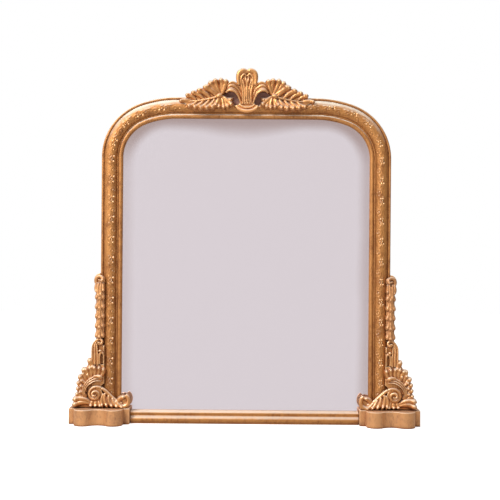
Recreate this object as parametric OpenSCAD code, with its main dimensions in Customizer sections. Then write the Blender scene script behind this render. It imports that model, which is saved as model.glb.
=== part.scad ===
// Arched gilt overmantel mirror: moulded frame on two plinth blocks, scroll consoles
// at the sides, a carved crest, and the glass, backboard and hangers behind.
// X runs to the right, Y to the wall and Z up; the carved work faces -Y.

/* [Frame] */
// Half of the width of the mirror that shows
sight_half = 429; // [380:1:480]
// Height of the top of the arch opening
sight_top = 1059; // [960:1:1160]
// Width of the moulding, seen from the front
moulding_w = 73; // [66:1:80]
// Thickness of the moulding from its back to its crown
moulding_t = 41; // [38:1:48]
// Radius of the tight haunch of the arch
haunch_r = 125; // [100:1:150]
// Radius of the slow shoulder of the arch
shoulder_r = 312; // [280:1:340]
// Angle that the shoulder arc turns through
shoulder_turn = 20; // [16:1:24]
// Height of the bottom rail
rail_h = 46; // [42:1:54]

/* [Glass and back] */
// Width of the rebate that the glass lies in
glass_lap = 9; // [7:0.5:11]
// Height of the glass face above the back of the frame
glass_seat = 16; // [14:0.5:17]
// Thickness of the mirror glass
glass_t = 4; // [3:0.5:6]
// Thickness of the backboard
board_t = 6; // [4:0.5:7]
// Width of the step that the backboard is screwed to
board_lap = 12; // [10:0.5:14]
// Space left round the glass and the backboard
edge_gap = 1; // [0.5:0.1:2]
// Diameter of the wood screws' shanks
screw_d = 3.5; // [3:0.1:4]
// Length of the backboard screws
screw_l = 13; // [11:0.5:14]

/* [Plinth] */
// Height of the plinth blocks
plinth_h = 55; // [48:1:62]
// Length of each plinth block
plinth_l = 209; // [200:1:220]
// Depth of the plinth at its two swellings
plinth_d = 108; // [98:1:118]
// Depth of the plinth's end wings
wing_d = 60; // [52:1:68]
// Width of each end wing
wing_w = 21; // [16:1:26]
// Radius of the plinth's two swellings
swell_r = 32; // [28:1:34]
// Depth of the plinth at the hollow between its swellings
hollow_d = 86; // [80:1:92]
// How far the plinth reaches into the opening from the sight edge
plinth_reach = 33; // [28:1:40]

/* [Crest] */
// Height of the crest's plume above the top of the frame
crest_rise = 98; // [90:1:110]
// Half of the width that the crest's foliage spans
crest_half = 236; // [225:1:239]
// Half of the width of the plume's head
plume_half = 36; // [32:1:40]
// Thickness of the crest in front of its support
crest_t = 40; // [36:1:46]
// Thickness of the support board behind the crest
support_t = 20; // [16:1:24]
// Half of the width of the housing cut in the top rail
housing_half = 56; // [50:1:60]
// Depth of the housing cut in the top rail
housing_d = 33; // [28:1:36]

/* [Consoles] */
// Height of the top of the consoles
console_top = 524; // [490:1:570]
// Thickness of the consoles' sawn blocks
block_t = 35; // [35:0.5:40]
// Width of the drop of husks
husk_w = 37; // [32:1:39]
// Number of husks in the drop
husk_count = 5; // [4:1:6]
// Radius of the large volute
volute_r = 26; // [22:1:28]
// Distance of the large volute from the frame's outer edge
volute_out = 13; // [11:1:19]
// Height of the large volute above the plinth
volute_up = 48; // [44:1:54]
// Thickness of the applied carving
carving_t = 22; // [18:1:28]
// Number of lobes up the outer edge of the acanthus leaf
edge_lobes = 7; // [5:1:9]

/* [Beading] */
// Diameter of the berries on the moulding
berry_d = 12; // [9:0.5:13]
// Distance from berry to berry
berry_pitch = 70; // [60:1:90]

/* [Hangers] */
// Height of the hangers' loops
hanger_z = 830; // [760:1:880]
// Width of the hanger straps
strap_w = 16; // [14:1:20]
// Length of the hanger straps
strap_l = 62; // [58:1:70]
// Thickness of the strap metal
strap_t = 1.2; // [1:0.1:1.6]
// Diameter of the ring wire
ring_wire = 3; // [2.5:0.1:3.4]
// Inside width of the ring
ring_in = 24; // [22:1:30]
// Running gap round the ring in its loop
ring_gap = 0.3; // [0.25:0.05:0.5]

/* [Hidden] */
$fn = 64;

eps = 0.01;
fit_gap = 0.3;      // between applied carving and what it lies on
pilot_gap = 0.1;    // round a screw's shank
gold = "goldenrod";
bole = "darkgoldenrod";
wood = "burlywood";
steel = "silver";
brass = "gold";

// where the frame's parts meet
outer_half = sight_half + moulding_w;
outer_top = sight_top + moulding_w;
spring_z = sight_top - shoulder_r + (shoulder_r - haunch_r) * cos(shoulder_turn);
haunch_x = sight_half - haunch_r;
shoulder_x = haunch_x - (shoulder_r - haunch_r) * sin(shoulder_turn);
shoulder_z = sight_top - shoulder_r;
flat_half = shoulder_x;
plinth_in = sight_half - plinth_reach;
plinth_x = plinth_in + plinth_l / 2;
board_edge = glass_lap + board_lap;

// the ring's loop stands behind the frame, and the origin is the middle of the depth
loop_in = ring_wire / 2 + ring_gap;
loop_out = loop_in + strap_t;
y_back = (plinth_d - 2 * loop_out) / 2;

// carved work
carve_floor = block_t;
berry_us = [34, 42];        // out from the sight edge to the berries, on the left and on the right
support_h = 2;                              // the support's back, in from the frame's back
crest_floor = support_h + support_t;        // the crest's back, on the support's face
crest_top = outer_top + crest_rise;

// Turns the panel plane (x across, y up, z towards the viewer) to stand on the frame's back.
module on_panel() {
    translate([0, y_back, 0]) rotate([90, 0, 0]) children();
}

// Draws its children on the right, or mirrored on the left.
module side(s) {
    if (s > 0) children();
    else mirror([1, 0, 0]) children();
}

// ---- moulding ----

function arc_points(cx, cy, r, a0, a1, n) =
    [for (i = [0:n]) let (a = a0 + (a1 - a0) * i / n) [cx + r * cos(a), cy + r * sin(a)]];

bead_w = 14;          // the sight bead
bead_in = 2.5;        // the slope down from it to the glass
outer_bead_r = 7.5;   // the bead on the outer edge
swell_u0 = 20;        // where the swell starts
swell_h0 = 22;        // and its height there

swell_u1 = moulding_w - 2 * outer_bead_r - 4;
crown_u = swell_u0 + (swell_u1 - swell_u0) * 0.66;

// the long inner slope and short outer slope of the swell
swell_points = concat(
    [for (i = [0:5]) let (t = i / 5)
        [swell_u0 + (crown_u - swell_u0) * t, swell_h0 + (moulding_t - swell_h0) * sin(90 * t)]],
    [for (i = [1:4]) let (t = i / 4)
        [crown_u + (swell_u1 - crown_u) * sin(90 * t), moulding_t - (moulding_t - 30) * (1 - cos(90 * t))]]
);

// u runs outwards from the sight edge and h forwards from the frame's back
function front_points() = concat(
    [[0, glass_seat], [0, glass_seat + 4]],
    arc_points(bead_w / 2 + bead_in, glass_seat + 4, bead_w / 2, 165, 15, 6),
    [[bead_in + bead_w + 1.5, glass_seat + 3.5]],
    swell_points,
    [[swell_u1 + 2, 28]],
    arc_points(moulding_w - outer_bead_r - 1, 27, outer_bead_r, 160, 0, 7),
    [[moulding_w, 20]]
);

module front_shape() {
    polygon(concat(front_points(), [[moulding_w, 0], [0, 0]]));
}

module moulding_shape() {
    polygon(concat(front_points(), [
        [moulding_w, 0], [board_edge, 0], [board_edge, board_t], [glass_lap, board_t], [glass_lap, glass_seat]
    ]));
}

// what applied carving has to clear: the moulding's front, grown by the gap
module clearance_shape() {
    offset(delta = fit_gap) front_shape();
}

// the same with one slope from the swell to the outer bead, for carving that bridges the groove
module bridged_shape() {
    bead_top = 27 + outer_bead_r + fit_gap;
    polygon([
        [-1, -1], [-1, moulding_t + fit_gap], [swell_u1 - 4, moulding_t + fit_gap], [swell_u1 + 5, bead_top],
        [moulding_w - 4, bead_top], [moulding_w + fit_gap, bead_top - 6], [moulding_w + fit_gap, -1]
    ]);
}

// A straight length of moulding up a stile, or of any outline given as its child.
module stile_run(z0, z1) {
    translate([sight_half, y_back, z0]) mirror([0, 1, 0]) linear_extrude(z1 - z0) children();
}

module rail_run(x0, x1) {
    translate([x0, y_back, sight_top]) rotate([90, 0, 90]) mirror([1, 0, 0])
        linear_extrude(x1 - x0) rotate(90) mirror([0, 1, 0]) children();
}

// one arc of the corner: its child is the outline from the sight edge outwards
module arc_run(cx, cz, r, a0, turn) {
    on_panel() translate([cx, cz, 0]) rotate(a0) rotate_extrude(angle = turn) translate([r, 0]) children();
}

module corner_run() {
    arc_run(haunch_x, spring_z, haunch_r, 0, 90 - shoulder_turn) children();
    arc_run(shoulder_x, shoulder_z, shoulder_r, 90 - shoulder_turn, shoulder_turn) children();
}

// loose splines across the four butt joints
spline_l = 40;
spline_w = 28;
spline_t = 4;
spline_u = 32;
spline_h = 9;
module spline_at_spring(gap) {
    translate([sight_half + spline_u - gap, y_back - spline_h - spline_t - gap, spring_z - spline_l / 2 - gap])
        cube([spline_w + 2 * gap, spline_t + 2 * gap, spline_l + 2 * gap]);
}
module spline_at_flat(gap) {
    translate([flat_half - spline_l / 2 - gap, y_back - spline_h - spline_t - gap, sight_top + spline_u - gap])
        cube([spline_l + 2 * gap, spline_t + 2 * gap, spline_w + 2 * gap]);
}

// dowels from each plinth up into its stile and in from it to the bottom rail
dowel_d = 10;
dowel_l = 44;
foot_dowel_us = [30, 54];
rail_dowel_zs = [12, 24];
dowel_h = 15;
module foot_dowel_pair(gap) {
    for (u = foot_dowel_us)
        translate([sight_half + u, y_back - dowel_h, plinth_h - dowel_l / 2 - gap])
            cylinder(d = dowel_d + 2 * gap, h = dowel_l + 2 * gap);
}
rail_dowel_d = 8;
module rail_dowel_pair(gap) {
    for (z = rail_dowel_zs)
        translate([plinth_in - dowel_l / 2 - gap, y_back - 2 * dowel_h + 4, z])
            rotate([0, 90, 0]) cylinder(d = rail_dowel_d + 2 * gap, h = dowel_l + 2 * gap);
}

// ---- glass, backboard and their fixings ----

// half of the arch opening, grown by o
module half_arch(o) {
    far = 2 * shoulder_r;
    square_z0 = rail_h - o;
    translate([0, square_z0]) square([sight_half + o, spring_z - square_z0]);
    translate([0, square_z0]) square([flat_half, sight_top + o - square_z0]);
    intersection() {
        translate([haunch_x, spring_z]) circle(haunch_r + o, $fn = 96);
        translate([haunch_x, spring_z]) polygon([
            [0, 0], [far, 0], [far, far], [far * sin(shoulder_turn), far * cos(shoulder_turn)]
        ]);
    }
    intersection() {
        translate([shoulder_x, shoulder_z]) circle(shoulder_r + o, $fn = 96);
        translate([shoulder_x, shoulder_z])
            polygon([[0, 0], [2 * far * sin(shoulder_turn), 2 * far * cos(shoulder_turn)], [0, 2 * far]]);
    }
}
module arch_sheet(o, h0, t) {
    on_panel() translate([0, 0, h0]) linear_extrude(t) {
        half_arch(o);
        mirror([1, 0]) half_arch(o);
    }
}

// spots on the right half, as [x, z, angle of the edge's normal]
screw_u = glass_lap + board_lap / 2;
side_rows = 5;
side_spots = [for (i = [0:side_rows - 1])
    [sight_half, 120 + (spring_z - 150) * i / (side_rows - 1), 0]];
haunch_spot = [haunch_x + haunch_r * cos(45), spring_z + haunch_r * sin(45), 45];
top_spots = [[0.82 * flat_half, sight_top, 90], [0.42 * flat_half, sight_top, 90]];
foot_spots = [[0.78 * plinth_in, rail_h, -90], [0.26 * plinth_in, rail_h, -90]];
edge_spots = concat(side_spots, [haunch_spot], top_spots, foot_spots);

function out_from(spot, u) = [spot[0] + u * cos(spot[2]), spot[1] + u * sin(spot[2])];

head_d = 2 * screw_d;
// A countersunk screw whose head is flush with the panel plane, pointing at the viewer.
module wood_screw(l, gap = 0) {
    r = screw_d / 2 + gap;
    translate([0, 0, -eps * (gap > 0 ? 1 : 0)]) cylinder(r = r, h = l + gap);
    cylinder(r1 = head_d / 2 + gap, r2 = r, h = screw_d / 2);
}
module edge_screws(gap = 0) {
    on_panel() for (spot = edge_spots) translate(out_from(spot, screw_u)) wood_screw(screw_l, gap);
}

// ---- carving helpers ----

// Joins rings of points, each with as many points as the first, into one closed solid.
module skin(rings) {
    n = len(rings[0]);
    m = len(rings);
    polyhedron(
        points = [for (ring = rings) for (p = ring) p],
        faces = concat(
            [for (i = [0:m - 2]) for (j = [0:n - 1]) [i * n + j, i * n + (j + 1) % n, (i + 1) * n + j]],
            [for (i = [0:m - 2]) for (j = [0:n - 1])
                [i * n + (j + 1) % n, (i + 1) * n + (j + 1) % n, (i + 1) * n + j]],
            [[for (j = [0:n - 1]) n - 1 - j]],
            [[for (j = [0:n - 1]) (m - 1) * n + j]]
        ),
        convexity = 4
    );
}

lobe_stops = [0, 0.36, 0.76, 1];
lobe_widths = [0.6, 0.97, 0.94, 0.4];

// A leaf lobe with a ridge. bow bends it to its left, as a share of its length.
module lobe(root, tip, w, low, crest, bow = 0, edge = 0.6) {
    along = tip - root;
    left = [-along[1], along[0]];
    skin([for (i = [0:len(lobe_stops) - 1])
        let (
            t = lobe_stops[i],
            c = root + t * along + bow * sin(180 * t) * left,
            d = along + bow * 180 * PI / 180 * cos(180 * t) * left,
            n = [-d[1], d[0]] / norm(d) * w * lobe_widths[i],
            top = t < 0.6 ? crest[0] + (crest[1] - crest[0]) * t / 0.6
                          : crest[1] + (crest[2] - crest[1]) * (t - 0.6) / 0.4,
            shoulder = low + edge * (top - low)
        )
        [
            [c[0] + n[0], c[1] + n[1], low],
            [c[0] - n[0], c[1] - n[1], low],
            [c[0] - 0.92 * n[0], c[1] - 0.92 * n[1], shoulder],
            [c[0], c[1], top],
            [c[0] + 0.92 * n[0], c[1] + 0.92 * n[1], shoulder]
        ]
    ]);
}

function ray(from, angle, length) = from + length * [cos(angle), sin(angle)];

// Lobes spread from one point, through the angles a0 to a1.
module fan(from, a0, a1, count, l0, l1, w, low, crest, edge = 0.6) {
    for (i = [0:count - 1]) {
        t = i / (count - 1);
        a = a0 + (a1 - a0) * t;
        lobe(ray(from, a, w * 0.4), ray(from, a, l0 + (l1 - l0) * t), w, low, crest, 0, edge);
    }
}

// A round roll through points [x, y, height, radius].
module roll(points) {
    for (i = [0:len(points) - 2])
        hull() {
            for (p = [points[i], points[i + 1]])
                translate([p[0], p[1], p[2]]) sphere(p[3], $fn = 6);
        }
}

// Points along a spiral that winds in from r0 to r1, thick at its start.
function spiral_points(c, r0, r1, a0, turn, h0, h1, thick0, thick1, steps) =
    [for (i = [0:steps]) let (t = i / steps, a = a0 + turn * t, r = r0 + (r1 - r0) * pow(t, 0.8))
        [c[0] + r * cos(a), c[1] + r * sin(a), h0 + (h1 - h0) * t, thick0 + (thick1 - thick0) * t]];

// A band of flutes whose two edges are given from root to end, for feathers and scroll bodies.
flute_xs = [0, 0.06, 0.24, 0.4, 0.6, 0.78, 0.94, 1];
flute_hs = [0, 0.62, 1, 0.66, 0.98, 0.66, 1, 0];
module fluted_band(lower, upper, low, tops) {
    skin([for (i = [0:len(lower) - 1])
        [for (j = [0:len(flute_xs) - 1])
            let (p = lower[i] + (upper[i] - lower[i]) * flute_xs[j])
            [p[0], p[1], low + (tops[i] - low) * flute_hs[j]]
        ]
    ]);
}

// ---- wooden frame ----

module stile(s) {
    color(gold) side(s) difference() {
        stile_run(plinth_h, spring_z) moulding_shape();
        spline_at_spring(pilot_gap);
        foot_dowel_pair(pilot_gap);
        edge_screws(pilot_gap);
        hanger_screw_holes();
        plate_screw_holes();
    }
}

module corner(s) {
    color(gold) side(s) difference() {
        corner_run() moulding_shape();
        spline_at_spring(pilot_gap);
        spline_at_flat(pilot_gap);
        edge_screws(pilot_gap);
    }
}

// the housing that takes the crest and its support
module housing(gap) {
    translate([-housing_half - gap, y_back - 2 * moulding_t, outer_top - housing_d - gap])
        cube([2 * (housing_half + gap), 3 * moulding_t, 2 * housing_d]);
}

module top_rail() {
    color(gold) difference() {
        rail_run(-flat_half, flat_half) moulding_shape();
        housing(0);
        for (s = [-1, 1]) side(s) {
            spline_at_flat(pilot_gap);
            edge_screws(pilot_gap);
        }
    }
}

rail_t = 42;            // thickness of the bottom rail at its lower roll
rail_bead_r = 5;
module bottom_rail_shape() {
    roll_r = rail_h * 0.26;
    polygon(concat(
        [[board_t, rail_h - board_edge], [0, rail_h - board_edge], [0, 0], [rail_t - 6, 0]],
        arc_points(rail_t - roll_r, roll_r + 3, roll_r, -60, 65, 7),
        [[rail_t - 9, rail_h * 0.56], [rail_t - 9, rail_h * 0.68]],
        arc_points(rail_t - 9 - rail_bead_r * 0.4, rail_h * 0.8, rail_bead_r, -60, 80, 5),
        [[rail_t - 14, rail_h - 3], [glass_seat + 4, rail_h], [glass_seat, rail_h],
         [glass_seat, rail_h - glass_lap], [board_t, rail_h - glass_lap]]
    ));
}
module bottom_rail() {
    color(gold) difference() {
        translate([-plinth_in, y_back, 0]) rotate([90, 0, 90])
            linear_extrude(2 * plinth_in) mirror([1, 0]) bottom_rail_shape();
        for (s = [-1, 1]) side(s) {
            rail_dowel_pair(pilot_gap);
            edge_screws(pilot_gap);
        }
    }
}

// the plinth's plan, with x across and y forward from its back
module plinth_plan() {
    body_half = plinth_l / 2 - wing_w;
    lobe_x = body_half - swell_r;
    lobe_y = plinth_d - swell_r;
    // the hollow's arc runs smoothly into both swellings
    dip = hollow_d - lobe_y;
    dip_r = (pow(lobe_x, 2) + pow(dip, 2) - pow(swell_r, 2)) / (2 * (swell_r - dip));
    touch = dip_r / (swell_r + dip_r);
    translate([-plinth_l / 2, 0]) square([plinth_l, wing_d]);
    translate([-body_half, 0]) square([2 * body_half, lobe_y]);
    for (s = [-1, 1]) translate([s * lobe_x, lobe_y]) circle(swell_r);
    difference() {
        translate([-lobe_x * touch, 0]) square([2 * lobe_x * touch, hollow_d + dip_r - (dip + dip_r) * touch]);
        translate([0, hollow_d + dip_r]) circle(dip_r);
    }
}
module plinth(s) {
    color(gold) side(s) difference() {
        translate([plinth_x, y_back, 0]) mirror([0, 1, 0]) linear_extrude(plinth_h) plinth_plan();
        translate([plinth_in - 1, y_back - glass_seat, rail_h - glass_lap])
            cube([plinth_reach + glass_lap + 1, glass_seat + 1, plinth_h]);
        translate([plinth_in - 1, y_back - board_t, rail_h - board_edge])
            cube([plinth_reach + board_edge + 1, board_t + 1, plinth_h]);
        foot_dowel_pair(pilot_gap);
        rail_dowel_pair(pilot_gap);
    }
}

module corner_splines() {
    color(wood) for (s = [-1, 1]) side(s) {
        spline_at_spring(0);
        spline_at_flat(0);
    }
}
module foot_dowels() {
    color(wood) for (s = [-1, 1]) side(s) foot_dowel_pair(0);
}
module rail_dowels() {
    color(wood) for (s = [-1, 1]) side(s) rail_dowel_pair(0);
}

// ---- glass and back ----

module mirror_glass() {
    color("lavender") arch_sheet(glass_lap - edge_gap, glass_seat - glass_t, glass_t);
}

block_l = 40;
block_w = 8;
module glazing_blocks() {
    deep = glass_seat - glass_t - board_t;
    color(wood) on_panel() for (s = [-1, 1]) side(s)
        for (spot = concat(side_spots, top_spots, foot_spots))
            translate([each out_from(spot, glass_lap - block_w / 2 - 0.2), board_t + deep / 2])
                rotate(spot[2]) cube([block_w, block_l, deep], center = true);
}

module backboard() {
    color(wood) difference() {
        arch_sheet(board_edge - edge_gap, 0, board_t);
        for (s = [-1, 1]) side(s) edge_screws(pilot_gap);
    }
}
module backboard_screws() {
    color(steel) for (s = [-1, 1]) side(s) edge_screws();
}

// ---- berries on the moulding ----

// the swell's height and slope under the berries
function berry_turn(u) = 90 * min(1, (u - swell_u0) / (crown_u - swell_u0));
function berry_h(u) = swell_h0 + (moulding_t - swell_h0) * sin(berry_turn(u));
function berry_slope(u) = atan((moulding_t - swell_h0) * cos(berry_turn(u)) * PI / 2 / (crown_u - swell_u0));
berry_lift = 0.1;       // keeps the berries' flat backs off the curved swell

// A berry whose flat back lies on the swell, outwards from a point of the sight edge.
module berry(u, at, angle = 0) {
    translate([each ray(at, angle, u), berry_h(u) + berry_lift]) rotate(angle) rotate([0, -berry_slope(u), 0])
        difference() {
            translate([0, 0, 1]) sphere(d = berry_d);
            translate([-berry_d, -berry_d, -2 * berry_d]) cube(2 * berry_d);
        }
}
berry_rows = floor((spring_z - plinth_h - berry_pitch) / berry_pitch);
module berries(s) {
    color(gold) on_panel() side(s)
        for (i = [0:berry_rows])
            berry(berry_us[(s + 1) / 2], [sight_half, spring_z - berry_pitch * (i + 0.1)]);
}
module berries_arch() {
    color(gold) on_panel() for (s = [-1, 1]) side(s) {
        u = berry_us[(s + 1) / 2];
        for (a = [18, 44, 66]) berry(u, ray([haunch_x, spring_z], a, haunch_r), a);
        berry(u, ray([shoulder_x, shoulder_z], 81, shoulder_r), 81);
    }
}

// ---- crest ----

// where the crest's parts start, on the right-hand side
fan_root = [89, outer_top + 4];
spray_root = [104, outer_top - 2];
spray_fall = 15;
crest_edge = crest_floor + crest_t;
collar_top = outer_top - 28;                // where the plume's stem stands on the collar

module crest_relief() {
    on_panel() children();
}

// the plume's outline with its side feathers, grown by the gap
feather_low = [[20, -32], [28, -4], [38, 11], [52, 18], [66, 17], [73, 12]];
feather_high = [[4, -32], [12, 9], [24, 41], [47, 56], [66, 49], [73, 35]];
function from_top(points) = [for (p = points) [p[0], outer_top + p[1]]];

plume_stops = [-28, -16, 14, 44, 66, 84, 92];
plume_widths = [21, 21, 24, 30, 35, 34, 28];
plume_tops = [0.74, 0.72, 0.7, 0.82, 0.9, 0.92, 0.8];
module plume_stem() {
    k = crest_rise / 99;
    skin([for (i = [0:len(plume_stops) - 1])
        let (w = plume_widths[i] * plume_half / 36, z = outer_top + plume_stops[i] * k)
        [for (j = [0:len(flute_xs) - 1])
            [w - 2 * w * flute_xs[j], z, crest_floor + crest_t * plume_tops[i] * flute_hs[j]]
        ]
    ]);
}
module crest_plume() {
    head = [[27, -48, 5, 3], [29, -34, 4, 6], [29, -20, 2, 7.5], [24, -10, 1, 7.5], [14, -6.5, 1, 7], [0, -12, 3, 6]];
    fold = [[15, -54, 8, 2], [17, -36, 5, 3], [11, -26, 4, 3.5], [0, -30, 5, 3]];
    color(gold) crest_relief() difference() {
        union() {
            plume_stem();
            for (s = [-1, 1]) scale([s, 1, 1]) {
                for (line = [head, fold])
                    roll([for (p = line)
                        [p[0] * plume_half / 36, crest_top + p[1], crest_edge - p[2] - p[3] / 2, p[3]]]);
                fluted_band(from_top(feather_low), from_top(feather_high), crest_floor,
                    [for (k = [0.6, 0.62, 0.7, 0.84, 0.8, 0.5]) crest_floor + crest_t * k]);
                roll([for (p = from_top(feather_low)) [p[0], p[1] + 1, crest_floor + crest_t * 0.46, 4.6]]);
            }
        }
        crest_holes();
        rail_clearance() bridged_shape();
        crest_screw_holes($fn = 16);
        translate([-plume_half, collar_top - 100, 0]) cube([2 * plume_half, 100, 3 * crest_t]);
    }
}

// The rail's own space, from an outline of its front, less the housing.
module rail_clearance() {
    rotate([-90, 0, 0]) translate([0, -y_back, 0]) difference() {
        rail_run(-2 * flat_half, 2 * flat_half) children();
        housing(-fit_gap);
    }
}

// the two pierced eyes beside the plume's stem
module crest_holes() {
    for (s = [-1, 1]) scale([s, 1, 1])
        hull() {
            translate([35, outer_top - 10, 0]) cylinder(r = 9, h = 3 * crest_t, $fn = 16);
            translate([32, outer_top - 24, 0]) cylinder(r = 5, h = 3 * crest_t, $fn = 16);
        }
}

module crest_collar() {
    ring_h = crest_floor + crest_t * 0.62;
    color(gold) crest_relief() difference() {
        union() {
            for (arc = [[43, 52, 5], [32, 26, 3.4]])
                roll([for (i = [-4:4])
                    let (a = 270 + arc[1] * i / 4)
                    [arc[0] * cos(a), outer_top - 5 + arc[0] * sin(a), ring_h, arc[2] - abs(i) * 0.4]]);
            translate([0, outer_top - 5, crest_floor]) linear_extrude(crest_t * 0.56) intersection() {
                circle(42, $fn = 32);
                translate([-34, -60]) square([68, 37]);
            }
        }
        translate([-2 * plume_half, collar_top - fit_gap, 0]) cube([4 * plume_half, 100, 3 * crest_t]);
        rail_clearance() clearance_shape();
    }
}

module crest_foliage(s) {
    high = crest_floor + crest_t * 0.88;
    near = crest_floor + crest_t * 0.72;
    rise = [near, high, near];
    tip = [crest_half, spray_root[1] - spray_fall];
    along = tip - spray_root;
    slope = atan2(along[1], along[0]);
    color(gold) crest_relief() side(s) difference() {
        union() {
            fan(fan_root, 104, 34, 5, 60, 66, 10.5, crest_floor, rise, 0.76);
            fan(fan_root, -64, -140, 5, 46, 48, 9.5, crest_floor, rise, 0.85);
            for (i = [0:3]) {
                base = spray_root + (0.06 + 0.2 * i) * along;
                lobe(base, ray(base, slope + 37 - 3 * i, 56 - 8 * i), 10 - i * 0.6, crest_floor, rise, 0.08, 0.85);
                lobe(base, ray(base, slope - 48 + 3 * i, 42 - 3 * i), 9 - i * 0.4, crest_floor, rise, -0.08, 0.85);
            }
            lobe(spray_root + 0.7 * along, tip, 8.5, crest_floor, [near, near + 1, near - 3], 0, 0.85);
            roll([for (i = [0:8]) let (t = i / 8)
                [each (spray_root + 0.9 * t * along), high - 4 - 4 * t, 4.5 - 2 * t]]);
            roll([[fan_root[0] - 2, fan_root[1], near, 7], [each spray_root, near + 1, 6]]);
        }
        plume_clearance();
        crest_holes();
        rail_clearance() bridged_shape();
        crest_screw_holes($fn = 16);
    }
}

// the space that belongs to the plume and collar
module plume_clearance() {
    translate([0, 0, -1]) linear_extrude(4 * crest_t) offset(delta = fit_gap, $fn = 16) {
        polygon(concat(
            [for (i = [0:len(plume_stops) - 1])
                [plume_widths[i] * plume_half / 36, outer_top + plume_stops[i] * crest_rise / 99]],
            [for (i = [len(plume_stops) - 1:-1:0])
                [-plume_widths[i] * plume_half / 36, outer_top + plume_stops[i] * crest_rise / 99]]
        ));
        for (s = [-1, 1]) scale([s, 1]) {
            polygon(concat(from_top(feather_low), [for (i = [5:-1:0]) from_top(feather_high)[i]]));
            for (p = from_top(feather_low)) translate(p + [0, 1]) circle(4.8, $fn = 8);
        }
        translate([0, outer_top - 5]) intersection() {
            circle(48.5, $fn = 32);
            translate([-45, -60]) square([90, 37]);
        }
    }
}

// the board in the housing, which the crest is screwed to from behind
support_arm = 150;
support_up = 26;
module crest_support() {
    color("rosybrown") on_panel() difference() {
        translate([0, 0, support_h]) linear_extrude(support_t) {
            translate([-housing_half + fit_gap, outer_top - housing_d]) square([2 * (housing_half - fit_gap), housing_d + support_up]);
            translate([-support_arm, outer_top]) square([2 * support_arm, support_up]);
        }
        crest_screw_holes();
    }
}
crest_screw_xs = [-120, -14, 14, 120];
crest_screw_l = support_h + support_t + 14;
module crest_screw_spots() {
    for (x = crest_screw_xs) translate([x, outer_top + 12, support_h]) children();
}
module crest_screw_holes() {
    crest_screw_spots() wood_screw(crest_screw_l - support_h, pilot_gap);
}
module crest_screws() {
    color(steel) on_panel() crest_screw_spots() wood_screw(crest_screw_l - support_h);
}

// ---- consoles, drawn on the right ----

husk_x = outer_half;                        // the husks' middle, over the frame's outer edge
husk_top = console_top - 61;
scroll_top = console_top - 227;
head_eye = [outer_half - 1, console_top - 27];          // the small volute at the top
husk_step = (husk_top - scroll_top) / husk_count;
carve_mid = carve_floor + carving_t * 0.75;
carve_high = carve_floor + carving_t;
volute_c = [outer_half + volute_out, plinth_h + volute_up];

module console_block(s) {
    x0 = outer_half;
    k = volute_c[1];
    color(gold) on_panel() side(s) difference() {
        linear_extrude(block_t) {
            polygon(concat([[x0, head_eye[1] + 23]], arc_points(head_eye[0], head_eye[1], 23, 85, -20, 8), [
                [x0 + 14, head_eye[1] - 24], [x0 + 14, scroll_top - 2], [x0 + 25, scroll_top - 30],
                [x0 + 27, scroll_top - 62], [x0 + 32, k + 118], [x0 + 52, k + 82], [x0 + 66, k + 50],
                [x0 + 72, k + 6], [x0 + 82, plinth_h + 22], [x0 + 84, plinth_h], [x0, plinth_h]
            ]));
        }
        panel_plate_screw_holes();
    }
}

// one husk: a middle lobe and two side lobes that point down and out
module husk(z, l, w) {
    lobe([husk_x, z + l * 0.1], [husk_x, z - l * 1.02], w * 0.28, carve_floor,
        [carve_mid, carve_high, carve_mid]);
    for (s = [-1, 1])
        lobe([husk_x + s * w * 0.12, z], [husk_x + s * w * 0.34, z - l * 0.96], w * 0.2, carve_floor,
            [carve_mid - 4, carve_mid + 2, carve_mid - 5], -0.1 * s);
}
module husk_drop(s) {
    color(gold) on_panel() side(s) intersection() {
        union() {
            roll(spiral_points(head_eye, 20, 4, -50, 400, carve_floor + 5, carve_high - 3, 5.5, 3.8, 9));
            translate([each head_eye, carve_floor]) cylinder(r = 18, h = carving_t * 0.6, $fn = 14);
            lobe([husk_x + 6, head_eye[1] - 15], [husk_x, husk_top - husk_step * 0.6], 15, carve_floor,
                [carve_mid, carve_high, carve_high - 3]);
            for (i = [0:husk_count - 1])
                husk(husk_top - i * husk_step, husk_step * 1.15, husk_w);
            translate([husk_x - husk_w * 0.3, scroll_top + 6, carve_floor])
                cube([husk_w * 0.6, husk_top - scroll_top - 10, carving_t * 0.5]);
        }
        translate([husk_x - husk_w / 2, scroll_top + fit_gap, carve_floor])
            cube([2 * husk_w, console_top - scroll_top, 3 * carving_t]);
    }
}

// the pierced bracket under the husks: a small volute and a fluted body
scroll_eye = [outer_half - 1, scroll_top - 20];
carve_in = husk_x - husk_w / 2 + 1;         // the carving's edge on the stile
flute_out = husk_x + 30;                    // and the far edge of its flutes, where the leaf starts
module console_scroll(s) {
    low_z = scroll_top - 92;
    color(gold) on_panel() side(s) difference() {
        intersection() {
            union() {
                roll(spiral_points(scroll_eye, 15, 3, -10, 460, carve_floor + 9, carve_high + 1, 5.2, 4, 14));
                fluted_band(
                    [[flute_out, low_z], [flute_out, scroll_top - 62], [husk_x + 29, scroll_top - 26],
                     [husk_x + 12, scroll_top - 3]],
                    [[carve_in, low_z], [carve_in, scroll_top - 60], [carve_in, scroll_top - 30],
                     [carve_in + 4, scroll_top - 10]],
                    carve_floor,
                    [carve_high, carve_high - 3, carve_mid - 3, carve_mid - 6]
                );
            }
            translate([carve_in, low_z, carve_floor]) cube([100, scroll_top - low_z - fit_gap, 3 * carving_t]);
        }
        hull() for (z = [scroll_top - 44, scroll_top - 47])
            translate([husk_x - 6, z, 0]) cylinder(r = 4, h = 200, $fn = 14);
        hull() for (z = [scroll_top - 64, scroll_top - 98])
            translate([husk_x - 6, z, 0]) cylinder(r = 6.5, h = 200, $fn = 14);
    }
}

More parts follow.
